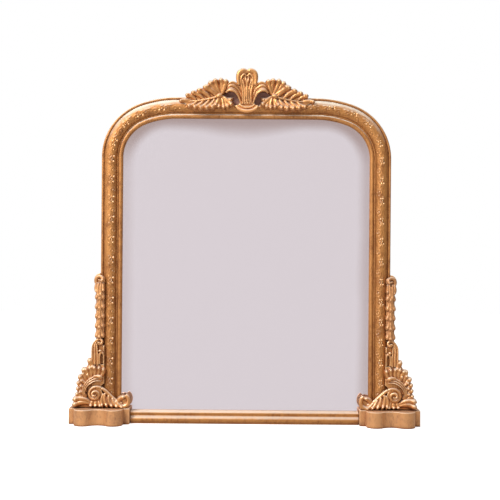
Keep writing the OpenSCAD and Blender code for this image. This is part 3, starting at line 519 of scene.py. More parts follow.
class Carving:
    def __init__(self, flip=1):
        self.points, self.faces, self.flip = [], [], flip

    def addLoops(self, loops):
        # closed loops of one length, skinned and capped at both ends
        start, count = len(self.points), len(loops[0])
        for loop in loops:
            self.points += [inPanel(self.flip * x, z, h) for x, z, h in loop]
        self.faces += skinFaces(start, len(loops), count)
        self.faces.append(tuple(start + j for j in reversed(range(count))))
        self.faces.append(tuple(start + (len(loops) - 1) * count + j for j in range(count)))

    def leaf(self, root, tip, wide, low, high, bow=0.0, curl=0.25, body=0.62, full=0.58, steps=14, across=10,
             blunt=2.4):
        # a lobe of half width wide: bow bends it sideways, curl lifts its tip, body is how high it starts,
        # full is where it is widest, and a larger blunt makes a rounder tip
        rx, rz = root
        dx, dz = tip[0] - rx, tip[1] - rz
        loops = []
        for i in range(steps + 1):
            t = i / steps
            cx = rx + dx * t - dz * bow * math.sin(math.pi * t)
            cz = rz + dz * t + dx * bow * math.sin(math.pi * t)
            tx = dx - dz * bow * math.pi * math.cos(math.pi * t)
            tz = dz + dx * bow * math.pi * math.cos(math.pi * t)
            size = math.hypot(tx, tz)
            nx, nz = -tz / size, tx / size
            if t < full:
                w = wide * (0.5 + 0.5 * math.sin(math.pi / 2 * t / full))
            else:
                w = wide * max(0.12, math.sqrt(max(0, 1 - ((t - full) / (1 - full)) ** blunt)))
            top = high * (body + (1 - body) * math.sin(math.pi * min(1, t * 0.62 + 0.12)))
            lift = math.exp(-((t - 0.84) / 0.12) ** 2) - 0.4 * math.exp(-((t - 1) / 0.08) ** 2)
            top += (high - low) * curl * lift
            loop = [(cx + nx * w, cz + nz * w, low)]
            for j in range(across + 1):
                v = 1 - 2 * j / across
                dome = (1 - abs(v) ** 2.6) ** 0.6
                loop.append((cx + nx * w * v, cz + nz * w * v, low + (top - low) * (0.35 + 0.65 * dome)))
            loop.append((cx - nx * w, cz - nz * w, low))
            loops.append(loop)
        self.addLoops(loops)

    def roll(self, stations, facets=12, flat=1.0):
        # stations: (x, z, h, radius), with rounded ends; flat stretches its height
        path = smoothLine(stations)
        loops = []
        last = len(path) - 1
        for i, (x, z, h, r) in enumerate(path):
            ax, az = path[min(i + 1, last)][:2]
            bx, bz = path[max(i - 1, 0)][:2]
            size = math.hypot(ax - bx, az - bz) or 1
            nx, nz = -(az - bz) / size, (ax - bx) / size
            for shrink in (0.55, 0.9) if i == 0 else (1,) if i < last else (0.9, 0.55):
                turns = [2 * math.pi * k / facets for k in range(facets)]
                loops.append([(x + nx * r * shrink * math.cos(a), z + nz * r * shrink * math.cos(a),
                               h + r * flat * shrink * math.sin(a)) for a in turns])
        self.addLoops(loops)

    def flutes(self, right, left, low, tops, count, deep):
        # a band between two lines, cut with flutes that run along it
        right, left, tops = smoothLine(right), smoothLine(left), smoothLine([(v,) for v in tops])
        across = count * 6
        loops = []
        for (rx, rz), (lx, lz), (top,) in zip(right, left, tops):
            loop = [(rx, rz, low)]
            for j in range(across + 1):
                v = j / across
                arch = min(1, math.sin(math.pi * v) * 3) ** 0.5
                cut = abs(math.sin(math.pi * v * count)) ** 0.7
                h = low + (top - low) * arch - deep * (1 - cut) * arch
                loop.append((rx + (lx - rx) * v, rz + (lz - rz) * v, max(low + 0.5, h)))
            loop.append((lx, lz, low))
            loops.append(loop)
        self.addLoops(loops)

    def slab(self, outline, low, high):
        self.addLoops([[(x, z, low) for x, z in outline], [(x, z, high) for x, z in outline]])

    def join(self, other):
        start = len(self.points)
        self.points += other.points
        self.faces += [tuple(start + k for k in face) for face in other.faces]

    def finish(self, name, nodes, material, voxel=1.3, rounds=4):
        piece = meshObject(name, self.points, self.faces)
        fuseAndEase(piece, voxel, rounds)
        placePiece(piece, nodes, material)


sides = ((1, "right"), (-1, "left"))


# moulding

moulding = {
    "step": 2.2,            # length of one facet along the moulding
    "reliefPitch": 70,      # from berry to berry
    "reliefMiddle": 33,     # the scrolls' line, out from the sight edge
    "reliefHigh": 1.9,
    "handCut": 0.22,        # unevenness left by gesso and burnishing
    "jointDeep": 0.35,      # the opened joint at the top left
    # the hollow behind each pierced hole of the crest: across, up from the top edge, half sizes
    "pocket": (37, -11, 13, 21),
    "pocketFloor": 20,
    "back": (9, 21, 6),     # how far out the rebates of glass and backboard reach, and how deep the second is
    "swell": (20.5, 9.5),   # how far the swell starts from the inner and the outer edge
    "crownAt": 0.48,        # where it is highest, as a share of its width
    "haunchR": 125,         # the tight arc over each stile
    "shoulderR": 312,       # the wide arc that runs into the top rail
    "shoulderTurn": 20,     # the degrees that the wide arc takes
}
haunchR, shoulderR, shoulderTurn = moulding["haunchR"], moulding["shoulderR"], moulding["shoulderTurn"]
haunchX = sightHalf - haunchR
shoulderX = haunchX - (shoulderR - haunchR) * math.sin(math.radians(shoulderTurn))
shoulderZ = sightTop - shoulderR
swellU0, swellU1 = moulding["swell"][0], mouldingWide - moulding["swell"][1]
crownU = swellU0 + (swellU1 - swellU0) * moulding["crownAt"]


def frontProfile():
    # from the sight edge outwards: sight bead, fillet, swell and outer bead
    low = glassFace + 4
    bead, outerBead = 6.6, 4.2
    line = [(0, glassFace), (0, glassFace + 2), (0.4, low), (1.6, low + 1.6)]
    for k in range(1, 12):
        a = math.pi / 2 * (k / 6 - 1)
        line.append((8.6 + bead * math.sin(a), low + 0.6 + 6.4 * math.cos(a) ** 0.8))
    line += [(15.4, low + 2.4), (16.2, low + 2.6), (17.2, low + 3.5), (18.4, low + 3.8), (19.6, low + 3.4)]
    for i in range(29):
        v = i / 14 - 1
        reach = crownU - swellU0 if v < 0 else swellU1 - crownU
        foot = low + 3.3 if v < 0 else 28.4
        line.append((crownU + reach * v, foot + (crown - 0.2 - foot) * (1 - abs(v) ** 2.3) ** 0.85))
    line.append((swellU1 + 0.9, 28.2))
    for i in range(10):
        line.append(rayFrom((mouldingWide - outerBead, 28), 160 - 160 * i / 9, outerBead))
    line.append((mouldingWide, 20))
    return line


def scrollRelief(along, out):
    # low leafy scrolls that run from berry to berry over the swell
    pitch, middle = moulding["reliefPitch"], moulding["reliefMiddle"]
    p = (along % pitch) / pitch
    high = 0.7 * np.exp(-((out - middle - 9 * np.sin(2 * np.pi * p)) / 1.8) ** 2)
    for centre, side, turn in ((0.27, -1, 1), (0.75, 1, -1)):
        a = (p - centre) * pitch
        b = out - (middle - side * 3.5)
        r = np.hypot(a, b)
        swirl = np.cos(turn * np.arctan2(b, a) + r * 0.72)
        high += np.exp(-(r / 11) ** 2) * (0.5 + 0.75 * swirl)
    for centre, side in ((0.08, 1), (0.30, 1.2), (0.45, 1), (0.55, -1), (0.74, -1.2), (0.93, -1)):
        a = (p - centre) * pitch
        b = (out - (middle + side * 12)) * 1.3
        r = np.hypot(a * 0.8 + b * 0.5, b - a * 0.3)
        high += 0.9 * np.exp(-(r / 4.6) ** 4)
    fade = np.clip((out - swellU0) / 3, 0, 1) * np.clip((50 - out) / 6, 0, 1)
    return moulding["reliefHigh"] * fade * high


def mouldingPiece(name, stations, node, jointAt=None, pocketed=False):
    # stations: (x, z, outward x, outward z, distance along) at the sight edge
    us, hs = np.array(frontProfile(), dtype=float).T
    rebate, boardEdge, boardDeep = moulding["back"]
    back = [(mouldingWide, 0), (boardEdge, 0), (boardEdge, boardDeep), (rebate, boardDeep), (rebate, glassFace)]
    carved = (us > 0.3) & (us < mouldingWide - 1)
    points = []
    for x, z, ox, oz, s in stations:
        wave = moulding["handCut"] * np.sin(s * 0.11 + us * 0.7) * np.sin(s * 0.037 + us * 0.21)
        if jointAt is not None:
            wave -= moulding["jointDeep"] * math.exp(-((s - jointAt) / 2.0) ** 2)
        high = hs + scrollRelief(np.full_like(us, s), us) + wave - 0.25
        high = np.where(carved, np.minimum(high, crown + 1.4), hs)
        if pocketed:
            across, up, halfX, halfZ = moulding["pocket"]
            inside = 1 - np.hypot((abs(x) - across) / halfX, (z + us - outerTop - up) / halfZ)
            high -= np.clip(inside / 0.16, 0, 1) * np.maximum(0, high - moulding["pocketFloor"])
        points += [inPanel(x + ox * u, z + oz * u, h) for u, h in list(zip(us, high)) + back]
    count, last = len(us) + len(back), len(stations) - 1
    faces = skinFaces(0, len(stations), count)
    # the ends are closed a hair inside, where they don't read as worn edges
    for end, near in ((0, 1), (last, last - 1)):
        start = len(points)
        for j in range(count):
            points.append(tuple(Vector(points[end * count + j]).lerp(Vector(points[near * count + j]), 0.2)))
        faces.append(tuple(start + j for j in (range(count) if end == 0 else reversed(range(count)))))
    piece = meshObject(name, points, faces)
    placePiece(piece, [node], gilt)
    hardEnds(piece)


def hardEnds(piece, degrees=50):
    # sharp edges where faces meet steeply, smooth elsewhere
    bm = bmesh.new()
    bm.from_mesh(piece.data)
    for edge in bm.edges:
        edge.smooth = not (edge.is_manifold and edge.calc_face_angle(0) > math.radians(degrees))
    bm.to_mesh(piece.data)
    bm.free()


def straightStations(x0, z0, x1, z1, ox, oz):
    long = math.hypot(x1 - x0, z1 - z0)
    n = max(2, round(long / moulding["step"]))
    return [(x0 + (x1 - x0) * i / n, z0 + (z1 - z0) * i / n, ox, oz, long * i / n) for i in range(n + 1)]


def arcStations(cx, cz, r, a0, a1, s0):
    # distance along is measured on the crown of the swell
    long = math.radians(abs(a1 - a0)) * (r + 31)
    n = max(2, round(long / moulding["step"]))
    line = []
    for i in range(n + 1):
        a = math.radians(a0 + (a1 - a0) * i / n)
        line.append((cx + r * math.cos(a), cz + r * math.sin(a), math.cos(a), math.sin(a), s0 + long * i / n))
    return line


stile = straightStations(sightHalf, plinthTop, sightHalf, springZ, 1, 0)
haunch = arcStations(haunchX, springZ, haunchR, 0, 90 - shoulderTurn, springZ - plinthTop)
shoulder = arcStations(shoulderX, shoulderZ, shoulderR, 90 - shoulderTurn, 90, haunch[-1][4])
for sign, side in sides:
    joint = springZ - plinthTop if side == "left" else None
    for name, stations in (("stile", stile), ("corner", haunch + shoulder[1:])):
        turned = [(sign * x, z, sign * ox, oz, s) for x, z, ox, oz, s in stations]
        mouldingPiece(name + side.title(), turned, name + "_" + side, joint)
rail = straightStations(flatHalf, sightTop, -flatHalf, sightTop, 0, 1)
mouldingPiece("topRail", rail, "top_rail", pocketed=True)
print("moulding is swept")


# berries on the moulding, each in two pairs of small leaves

berry = {
    "across": 11,
    "outLeft": 34,          # from the sight edge
    "outRight": 42,
    "pitch": moulding["reliefPitch"],
    "archTurns": (18, 44, 66),      # places round the haunch, in degrees
    "lastTurn": 81,                 # and round the shoulder
    "leafLong": 14,
    "leafWide": 3.8,
    "leafLean": 24,
    "voxel": 0.8,
}


def swellHigh(u):
    # the swell's height out from the sight edge
    line = [(a, h) for a, h in frontProfile() if a > 20]
    for (u0, h0), (u1, h1) in zip(line, line[1:]):
        if u0 <= u <= u1:
            return h0 + (h1 - h0) * (u - u0) / max(1e-6, u1 - u0)
    return crown


def berryForms(form, x, z, turn):
    # turn: which way is outwards there, in degrees
    out = berry["outRight"] if form.flip > 0 else berry["outLeft"]
    low = swellHigh(out)
    middle = rayFrom((x, z), turn, out)
    r = berry["across"] / 2
    form.roll([(*rayFrom(middle, turn, -0.6), low + 1.2, r * 0.96), (*middle, low + 1.6, r),
               (*rayFrom(middle, turn, 0.6), low + 1.2, r * 0.96)], 14)
    for way in (turn + 90, turn - 90):
        for lean in (-berry["leafLean"], berry["leafLean"]):
            tip = rayFrom(middle, way + lean, berry["leafLong"])
            form.leaf(rayFrom(middle, way, 2), tip, berry["leafWide"], low - 4, low + 1.7, 0.1, curl=0.1,
                      steps=8, across=6)


stileCount = math.floor((springZ - plinthTop) / berry["pitch"])
arch = Carving()
for sign, side in sides:
    row, overhead = Carving(sign), Carving(sign)
    for i in range(stileCount):
        berryForms(row, sightHalf, springZ - berry["pitch"] * (i + 0.1), 0)
    row.finish("berries" + side.title(), ["berries_" + side], giltBright, berry["voxel"], 2)
    for turn in berry["archTurns"]:
        berryForms(overhead, *rayFrom((haunchX, springZ), turn, haunchR), turn)
    turn = berry["lastTurn"]
    berryForms(overhead, *rayFrom((shoulderX, shoulderZ), turn, shoulderR), turn)
    arch.join(overhead)
arch.finish("berriesArch", ["berries_arch"], giltBright, berry["voxel"], 2)
print("berries are set")


# crest: places are across from the middle and up from the frame's top edge

crest = {
    "voxel": 1.2,
    # the plume's band: up, half width, share of the crest's thickness
    "stem": [(-24, 22, 0.74), (-14, 21, 0.72), (14, 24, 0.72), (44, 30, 0.82), (66, 33, 0.84), (80, 31, 0.8),
             (90, 24, 0.66)],
    "petals": [(3, 8, 6.5), (9, 19, 7), (15, 27, 7)],       # foot and head across, half width
    # rims of the plume's head: across, down from the crest's top, radius, how far it is sunk
    "headRim": [(28, -58, 4.5, 5), (30.5, -42, 7, 4), (29.6, -25, 8.4, 2.5), (24, -13.8, 8.8, 1.5),
                (12.5, -8.8, 8.6, 1), (0, -12.4, 7.6, 3)],
    "innerLip": [(18, -58, 2.2, 9), (20.5, -40, 3.2, 6), (17, -27, 3.6, 5), (9, -21, 3.6, 5), (0, -27, 3.2, 8)],
    # side feathers: their two edges, and the share of thickness and the radius of the rib along the lower one
    "featherLow": [(20, -28), (27, -6), (37, 11), (51, 19), (64, 19), (73, 12)],
    "featherHigh": [(6, -28), (12, 9), (24, 40), (46, 56), (65, 50), (74, 34)],
    "featherLift": (0.62, 0.66, 0.74, 0.86, 0.82, 0.6),
    "ribLift": (0.62, 0.72, 0.84, 0.9, 0.86, 0.74),
    "ribThick": (2.6, 3.2, 3.8, 4.2, 4.2, 3.4),
    # the crescents that the plume stands in: across, up, radius
    "crescent": [(38, -30, 2.6), (31, -40, 4.4), (17, -47, 5.4), (0, -49.5, 6)],
    "innerCrescent": [(27, -25, 2.2), (20, -31, 3), (10, -35.5, 3.4), (0, -37, 3.6)],
    # two fans from one root: first and last turn, first and last length, half width
    "fanRoot": (89, 4),
    "upperFan": ((106, 32), (60, 68), 11.8),
    "lowerFan": ((-62, -136), (46, 55), 9.6),
    "fanCount": 5,
    # the spray and its lobes: tip across and up, the way it points, length, half width
    "sprayRoot": (104, -2),
    "sprayTip": (235, -17),
    "upperLobes": [(153, 34, 36, 62, 12.5), (174, 23, 32, 58, 12), (194, 14, 27, 50, 11),
                   (213, 5, 22, 40, 9.5)],
    "lowerLobes": [(127, -43, -50, 52, 11.5), (147, -45, -46, 52, 11.5), (168, -44, -41, 52, 11),
                   (188, -41, -36, 48, 10.5), (207, -36, -30, 42, 9.5)],
}
crestThick = crestFront - crestBack


def fromTop(points, sign=1):
    return [(sign * p[0], outerTop + p[1]) for p in points]


def bothSides(stations):
    return stations + [(-s[0],) + tuple(s[1:]) for s in reversed(stations[:-1])]


def crestShare(share):
    return crestBack + crestThick * share


def makePlume():
    form = Carving()
    edge = [(wide, outerTop + up) for up, wide, share in crest["stem"]]
    form.flutes(edge, [(-x, z) for x, z in edge], crestBack,
                [crestShare(share * 0.93) for up, wide, share in crest["stem"]], 4, 2)
    # petals open out from the foot to the head, with a dark hollow between the middle pair
    for foot, head, wide in crest["petals"]:
        for sign in (1, -1):
            form.leaf((foot * sign, outerTop - 26), (head * sign, outerTop + 76 - head * 0.5), wide, crestBack,
                      crestShare(0.9) - head * 0.1, 0.07 * sign, body=0.9, curl=0.1, full=0.7, blunt=1.6)
    for line in (crest["headRim"], crest["innerLip"]):
        form.roll(bothSides([(x, crestTop + z, crestFront - r - sink + 3.5, r) for x, z, r, sink in line]), 14)
    for sign in (1, -1):
        lower = fromTop(crest["featherLow"], sign)
        form.flutes(lower, fromTop(crest["featherHigh"], sign), crestBack,
                    [crestShare(share) for share in crest["featherLift"]], 3, 5)
        form.roll([(x, z + 1, crestShare(share), r)
                   for (x, z), share, r in zip(lower, crest["ribLift"], crest["ribThick"])])
    form.finish("crestPlume", ["crest_plume"], giltDeep, crest["voxel"])


def makeCollar():
    form = Carving()
    for line, share in ((crest["crescent"], 0.66), (crest["innerCrescent"], 0.64)):
        form.roll(bothSides([(x, outerTop + z, crestShare(share), r) for x, z, r in line]), 14)
    web = fromTop(bothSides(crest["crescent"]) + [(-22, -24), (22, -24)])
    form.slab(web, crestBack, crestShare(0.56))
    form.finish("crestCollar", ["crest_collar"], giltBright, 1.0, 3)


def addFan(form, root, fan, high, body, full):
    # wide ridges side by side over a web, so that only their tips stand apart
    turns, longs, wide = fan
    web = [root]
    for i in range(crest["fanCount"]):
        t = i / (crest["fanCount"] - 1)
        angle = turns[0] + (turns[1] - turns[0]) * t
        reach = longs[0] + (longs[1] - longs[0]) * t
        uneven = 1 + 0.08 * math.sin(5 * i)
        form.leaf(rayFrom(root, angle, wide * 0.2), rayFrom(root, angle, reach), wide * uneven, crestBack,
                  high - 2 * (i % 2), 0.05 if t < 0.5 else -0.05, body=body, full=full, blunt=2.9)
        web.append(rayFrom(root, angle, reach * 0.84))
    form.slab(web, crestBack, crestBack + (high - crestBack) * 0.66)


def lobesOf(rows):
    return [((x, outerTop + z), angle, long, wide) for x, z, angle, long, wide in crest[rows]]


def sprayForms(form):
    root, start, tip = fromTop([crest["fanRoot"], crest["sprayRoot"], crest["sprayTip"]])
    high = crestFront - 5
    addFan(form, root, crest["upperFan"], high, 0.74, 0.74)
    addFan(form, root, crest["lowerFan"], high - 2, 0.84, 0.68)
    form.leaf(root, rayFrom(root, -159, 43), 9, crestBack, high - 6, 0.12, body=0.84, full=0.68)
    webs = []
    for rows, bow, inset in (("upperLobes", 0.10, 0.2), ("lowerLobes", -0.10, 0.22)):
        for i, (end, angle, long, wide) in enumerate(lobesOf(rows)):
            form.leaf(rayFrom(end, angle + 180, long), end, wide, crestBack, high - i, bow, body=0.84,
                      full=0.72, blunt=2.6)
        webs.append([rayFrom(end, angle + 180, long * inset) for end, angle, long, wide in lobesOf(rows)])
    upper, lower = webs
    form.slab([start] + upper + [(tip[0] - 10, tip[1] + 1)] + lower[::-1], crestBack, crestShare(0.55))
    form.leaf((tip[0] - 42, tip[1] + 5), tip, 8.5, crestBack, high - 7, 0.04, body=0.85, full=0.6)
    # the spray's rib, which sags a little and thins out, and the knob that it starts from
    rib = []
    for t in (0, 0.2, 0.4, 0.6, 0.8, 0.95):
        x, z = (start[k] + (tip[k] - start[k]) * t for k in (0, 1))
        rib.append((x, z - 5 * math.sin(math.pi * t), high - 7 - 7 * t, 3.6 - 2 * t))
    form.roll(rib)
    form.roll([(root[0] - 3, root[1], high - 8, 7), (root[0] + 7, root[1] - 2, high - 5, 7.5),
               (*start, high - 5, 5)])


makePlume()
makeCollar()
for sign, side in sides:
    foliage = Carving(sign)
    sprayForms(foliage)
    foliage.finish("crestFoliage" + side.title(), ["crest_foliage_" + side], giltDeep, crest["voxel"])
print("crest is carved")


# consoles: drawn on the right in panel millimetres, flipped for the left

console = {
    "relief": 22,           # how far the carving stands off the block
    "lip": 4,               # how far it reaches over the block's top
    "huskWide": 37,
    "huskCount": 5,
    "huskTop": 61,          # down from the console's top
    "voluteOut": 13,
    "voluteUp": 48,
    "voluteR": 26,
    "carveIn": 17.5,        # how far the carving reaches in over the stile
    "fluteOut": 30,
    # ribs under the small volute: across at top and foot, half width, share of one husk's length
    "buds": [(13, 11, 7, 0.35), (4, 2, 8, 0.95), (-5, -6, 7, 0.75), (-12, -13, 6, 0.25)],
    # the leaf's lobes: tip up from the plinth and out from the frame, the way it points, length, half width
    "edgeLobes": [(50, 82, 34, 40, 9.4), (70, 80, 40, 40, 9.4), (90, 78, 48, 42, 9.4), (112, 73, 57, 48, 10),
                  (138, 60, 66, 56, 10.6), (171, 39, 74, 62, 10.6), (150, 27, 84, 50, 8), (122, 44, 74, 48, 8)],
    # lobes in a fan over the curl: the way each points, how far it reaches, half width
    "curlFan": [(107, 97, 7.5), (97, 99, 7.8), (87, 99, 7.8), (77, 101, 7.8), (68, 99, 7.8), (58, 88, 7.5)],
    "curlOut": [43, 43, 45, 49, 54, 60, 65, 62],        # the curl's outer edge, from the volute's eye
    # the curl's tip: turn and reach from the eye, height over the carving, radius
    "curlTip": [(84, 60, 2, 3.6), (96, 63, 5, 5.4), (106, 63, 6, 6.8), (114, 60, 3, 5.8)],
    # places by the volute: out from the frame, up from the volute's eye, radius
    "stem": [(-80, -32, 4), (-62, -25, 5.2), (-42, -9, 6.2), (-22, 10, 6.6), (-7, 20, 6.2)],
    "hook": [(-67, -40, 8), (-84, -43, 8.4), (-97, -37, 8), (-102, -23, 7), (-98, -9, 6.8), (-91, -3, 6.0)],
    "hookWeb": [(-70, -42), (-90, -42), (-99, -28), (-98, -10), (-90, -4), (-84, -10), (-76, -22)],
    # drooping lobes: root out from the frame and up from the eye, tip out from the frame
    "drooping": [(-15, 2, -15), (-21, 3, -32), (-33, -5, -50), (-46, -14, -68), (-59, -23, -85)],
    "underVolute": [(-13, -20, 9), (-5, -2, 9.5), (5, 15, 9)],      # root and tip across, half width
}
carveFloor = yBack - huskHigh[1]
carveHigh = carveFloor + console["relief"]
consoleTop, scrollTop = blockHigh[2] + console["lip"], huskLow[2]
huskX = outerHalf
huskTop = consoleTop - console["huskTop"]
huskStep = (huskTop - scrollTop) / console["huskCount"]
volute = (outerHalf + console["voluteOut"], plinthTop + console["voluteUp"])
legX, fluteX = huskX - console["carveIn"], huskX + console["fluteOut"]


def huskForms(form):
    eye = (huskX - 1, consoleTop - 27)
    form.roll(spiral(eye, (19, 6), -60, 300, (carveFloor + 8, carveHigh), (6.2, 5.6), 18))
    form.roll([(eye[0] + 1, eye[1], carveHigh - 2, 4.6), (eye[0] + 4, eye[1] - 3, carveHigh - 3, 4.4)])
    form.slab(ringOf(eye, 16, 20), carveFloor, carveFloor + 10)
    for x, x1, wide, reach in console["buds"]:
        form.leaf((huskX + x, eye[1] - 9 - abs(x) * 0.2), (huskX + x1, huskTop - huskStep * reach), wide,
                  carveFloor, carveHigh + 1 - abs(x1) * 0.25, 0.05, body=0.92, curl=0.16, blunt=1.8)
    wide = console["huskWide"]
    left, right = huskX - wide * 0.40, huskX + wide * 0.36
    form.slab([(left, scrollTop + 4), (right, scrollTop + 4), (right, huskTop), (left, huskTop)],
              carveFloor, carveFloor + 11)
    for i in range(console["huskCount"]):
        z = huskTop - i * huskStep
        for s in (-1, 1):
            root, tip = (huskX + s * wide * 0.11, z + 8), (huskX + s * wide * 0.40, z - huskStep)
            form.leaf(root, tip, wide * 0.235, carveFloor, carveHigh - 3 + i % 2, -0.10 * s, body=0.94,
                      curl=0.1, full=0.66, blunt=2.5)
            root, tip = (huskX + s * wide * 0.05, z + 2), (huskX + s * wide * 0.15, z - huskStep * 1.15)
            form.leaf(root, tip, wide * 0.14, carveFloor, carveHigh + 1, -0.10 * s, body=0.93, curl=0.12,
                      blunt=1.7)


def scrollForms(form):
    low, waist = scrollTop - 92, scrollTop - 56
    eye = (huskX - 1, scrollTop - 16)
    form.roll(spiral(eye, (14, 3), -20, 400, (carveFloor + 9, carveHigh), (5.0, 4.4), 18))
    form.roll([(eye[0] - 1, eye[1], carveHigh, 3.8), (eye[0] + 2, eye[1] - 2, carveHigh - 1, 3.8)])
    form.slab(ringOf(eye, 12, 20), carveFloor, carveFloor + 10)
    form.flutes([(fluteX, low), (fluteX, scrollTop - 62), (huskX + 28, scrollTop - 26),
                 (huskX + 14, scrollTop - 6)],
                [(huskX, low), (huskX + 1, scrollTop - 60), (huskX + 4, scrollTop - 34),
                 (huskX + 8, scrollTop - 20)],
                carveFloor, [carveHigh, carveHigh - 1, carveHigh - 3, carveHigh - 6], 3, 5)
    # the arch round the pierced hole
    form.roll([(legX + 2.8, low + 1, carveFloor + 11, 3), (legX + 2.8, waist - 10, carveFloor + 12, 3),
               (legX + 4.4, waist, carveFloor + 13, 3.6), (huskX - 8, waist + 5, carveFloor + 14, 4.2),
               (huskX - 2.6, waist, carveFloor + 14, 4.4), (huskX - 0.6, waist - 12, carveFloor + 13, 4.4),
               (huskX - 1, low + 1, carveFloor + 13, 4.4)], flat=2.0)
    # the small leaf that curls over it, and the thin inner leg
    form.roll([(huskX - 8, scrollTop - 48, carveHigh - 3, 3.6), (huskX - 3, scrollTop - 45, carveHigh, 4.4),
               (huskX + 1, scrollTop - 49, carveHigh - 3, 3.8)])
    form.roll([(legX + 3.4, scrollTop - up, carveFloor + 10, 3.8) for up in (46, 28)], flat=1.8)
    form.slab([(legX + 1, low + 1), (huskX + 2, low + 1), (huskX + 4, scrollTop - 26),
               (legX + 1, scrollTop - 26)], carveFloor, carveFloor + 4)


def leafForms(form):
    top, neck, foot, eyeZ = scrollTop - 92.5, scrollTop - 88, plinthTop + 1, volute[1]
    ground = [(-17, top), (29, top), (33, neck + 8), (50, neck - 26), (64, neck - 58), (69, eyeZ + 4),
              (77, plinthTop + 24), (79, foot), (24, foot), (24, eyeZ + 4), (-17, eyeZ + 36)]
    form.slab([(outerHalf + x, z) for x, z in ground], carveFloor, carveFloor + 12)
    # lobes that lean outwards up the edge, each over the next, and a second row inside the lower ones
    for up, out, angle, long, wide in console["edgeLobes"]:
        end = (outerHalf + out, plinthTop + up)
        form.leaf(rayFrom(end, angle + 180, long), end, wide + 0.8, carveFloor, carveHigh + 5 - up / 34, 0.10,
                  curl=0.24, body=0.8, full=0.66)
        if up < 112:
            form.leaf(rayFrom((end[0] - 17, end[1] + 5), angle + 180, long * 0.7), (end[0] - 13, end[1] + 7),
                      wide * 0.78, carveFloor, carveHigh + 8 - up / 34, 0.12, curl=0.24, body=0.84, full=0.6,
                      blunt=2.2)
    for angle, reach, wide in console["curlFan"]:
        form.leaf(rayFrom(volute, angle - 6, 52), rayFrom(volute, angle, reach), wide + 0.6, carveFloor,
                  carveHigh + 3, 0.12, curl=0.22, body=0.82, full=0.62, blunt=2.3)
    # the curl over the volute, in ridges round to a bright tip
    turns = [-34 + 150 * k / 7 for k in range(8)]
    form.flutes([rayFrom(volute, a, r) for a, r in zip(turns, console["curlOut"])],
                [rayFrom(volute, a, 32.5 + 15 * (k / 7) ** 3) for k, a in enumerate(turns)],
                carveFloor, [carveFloor + 19 + 13 * math.sin(math.radians(22 * k + 8)) for k in range(8)], 3, 9)
    form.roll([(*rayFrom(volute, a, r), carveHigh + lift, thick) for a, r, lift, thick in console["curlTip"]])
    for up in (7, 27):
        form.leaf((outerHalf + 28, plinthTop + 12 + up * 0.3), (outerHalf + 92, plinthTop + up), 12, carveFloor,
                  carveHigh + 8, 0.14, curl=0.3, body=0.78, full=0.7)


def byVolute(stations, h):
    return [(outerHalf + x, volute[1] + z, h, r) for x, z, r in stations]


def voluteForms(form):
    lead = byVolute(console["stem"][-1:], crown + 9)
    form.roll(lead + spiral(volute, (console["voluteR"] - 1, 2.5), 112, -650, (crown + 10, carveHigh + 18),
                            (6.4, 3.8), 30), 14)
    form.slab(ringOf(volute, 25, 28), carveFloor, carveHigh - 1)
    form.roll([(*rayFrom((volute[0] + 2, volute[1] - 10), 170 + 27 * k, 30), carveHigh - 4, 5 - 0.5 * k)
               for k in range(5)])
    for x, x1, wide in console["underVolute"]:
        form.leaf((volute[0] + x, volute[1] - 16), (volute[0] + x1, plinthTop + 3), wide, carveFloor,
                  carveHigh + 2, 0.06, body=0.84)


def footForms(form):
    form.roll(byVolute(console["stem"], crown + 8), 14)
    for x, z, x1 in console["drooping"]:
        form.leaf((outerHalf + x, volute[1] + z), (outerHalf + x1, plinthTop + 2), 9.6, 33,
                  carveHigh + 6 + x / 20, 0.12, body=0.92, curl=0.16, full=0.5, blunt=1.7)
    form.roll(byVolute(console["hook"], crown + 9), 14, 0.9)
    form.leaf((outerHalf - 68, plinthTop + 6), (outerHalf - 93, plinthTop + 40), 9, 38, carveHigh, -0.3,
              body=0.8)
    form.slab([(outerHalf + x, volute[1] + z) for x, z in console["hookWeb"]], 36, 46)


# each carved piece: its forms, the node it stands for and its gilding
consolePieces = {
    "huskDrop": (huskForms, "husk_drop_", giltHusk),
    "consoleScroll": (scrollForms, "console_scroll_", giltDeep),
    "acanthus": (leafForms, "acanthus_", giltDeep),
    "volute": (voluteForms, "volute_", giltDeep),
    "footSpray": (footForms, "foot_spray_", giltDeep),
}
for sign, side in sides:
    for name, (addForms, node, material) in consolePieces.items():
        form = Carving(sign)
        addForms(form)
        form.finish(name + side.title(), [node + side], material)
print("consoles are carved")


# sawn and planed pieces: copies of the CAD meshes, their arrises eased by gesso

eased = {
    "voxel": 1.6,
    "rounds": 6,
}


def easedCopy(name, node, material):
    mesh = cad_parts[node].data.copy()
    mesh.name = name
    piece = newObject(name, mesh)
    fuseAndEase(piece, eased["voxel"], eased["rounds"])
    placePiece(piece, [node], material)


for side in ("left", "right"):
    easedCopy("plinth" + side.title(), "plinth_" + side, giltPlain)
    easedCopy("consoleBlock" + side.title(), "console_block_" + side, giltDeep)
easedCopy("bottomRail", "bottom_rail", giltRail)
print("sawn pieces are eased")


# what keeps its CAD shape, under the finish it gets

keptShapes = {
    "boleAndShadeBoard": (boleAndShadeFinish, ["crest_support"]),
    "backBoard": (boardFinish, ["backboard"]),
    "pine": (boardFinish, ["corner_splines", "foot_dowels", "rail_dowels", "glazing_blocks"]),
    "zinc": (metalFinish, ["backboard_screws", "crest_screws", "plate_screws", "hanger_screws",
                           "mending_plates"]),
    "brass": (metalFinish, ["hanger_left", "hanger_right", "ring_left", "ring_right"]),
}
dressNode("mirror_glass", mirrorFinish("glassAndPaintedShade", sightHalf * mm, sightTop * mm))
for stuff, (finish, nodes) in keptShapes.items():
    material = finish(stuff)
    for node in nodes:
        dressNode(node, material)
print("glass, hardware and back are dressed")


# floor and world, both white to the camera

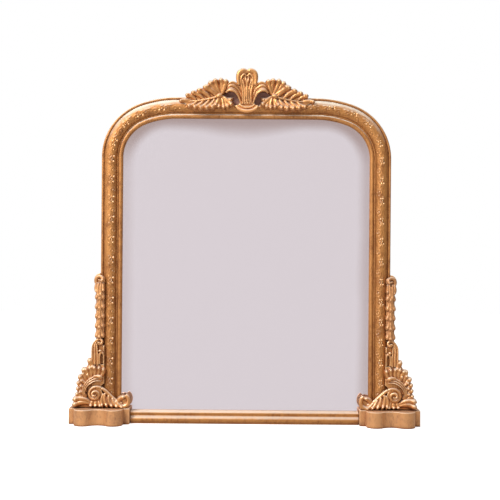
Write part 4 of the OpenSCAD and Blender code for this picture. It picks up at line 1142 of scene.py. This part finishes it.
stage = {
    "floorHalf": 6,
    "floorWhite": (0.88, 0.88, 0.88),
    "floorLift": 0.62,
    "lit": 0.62,        # the soft light all round
    "front": 0.72,      # what the glass faces
    "side": 0.26,       # what the gilding's reflections meet elsewhere
    "left": 1.1,        # the room's bright side
    "above": 1.4,
}


def floorFinish(name):
    # to the camera it is as white as the world and keeps the contact shadow; reflections see it plain
    f = Finish(name)
    f.feed(colour=stage["floorWhite"], roughness=0.9, specular=0.0)
    own = Sock(f.tree, f.shader.outputs[0])
    glow = f.add("ShaderNodeEmission", sockets={"Strength": stage["floorLift"]})
    plain = f.add("ShaderNodeEmission", sockets={"Strength": stage["front"]})
    lifted = f.mixShaders(f.rayIs("Camera"), own, f.add("ShaderNodeAddShader", sockets={0: own, 1: glow}))
    f.plug(f.tree.nodes["Material Output"].inputs["Surface"], f.mixShaders(f.rayIs("Glossy"), lifted, plain))
    return f.material


def makeFloor():
    half = stage["floorHalf"]
    corners = [(-half, -half, 0), (half, -half, 0), (half, half, 0), (-half, half, 0)]
    mesh = bpy.data.meshes.new("floor")
    mesh.from_pydata(corners, [], [(0, 1, 2, 3)])
    mesh.materials.append(floorFinish("floorWhite"))
    newObject("floor", mesh)


def makeWorld():
    world = bpy.data.worlds.new("studio")
    bpy.context.scene.world = world
    world.use_nodes = True
    world.node_tree.nodes.clear()
    n = Nodes(world.node_tree)
    way = n.add("ShaderNodeTexCoord", out="Generated")
    x, y, z = (n.add("ShaderNodeSeparateXYZ", sockets={0: way}, out=letter) for letter in "XYZ")
    ahead = ((y * -1.0 - 0.50) / 0.44).clamped()
    leftward = ((x * -1.0 - 0.25) / 0.6).clamped()
    over = ((z - 0.25) / 0.5).clamped()

    def sky(strength):
        return n.add("ShaderNodeBackground", sockets={"Color": (1, 1, 1), "Strength": strength})

    reflected = n.mixShaders(ahead, sky(stage["side"]), sky(stage["front"]))
    reflected = n.mixShaders(leftward, reflected, sky(stage["left"]))
    reflected = n.mixShaders(over, reflected, sky(stage["above"]))
    soft = n.mixShaders(n.rayIs("Glossy"), sky(stage["lit"]), reflected)
    seen = n.mixShaders(n.rayIs("Camera"), soft, sky(1.0))
    n.add("ShaderNodeOutputWorld", sockets={"Surface": seen})


makeFloor()
makeWorld()
print("floor and world are set")
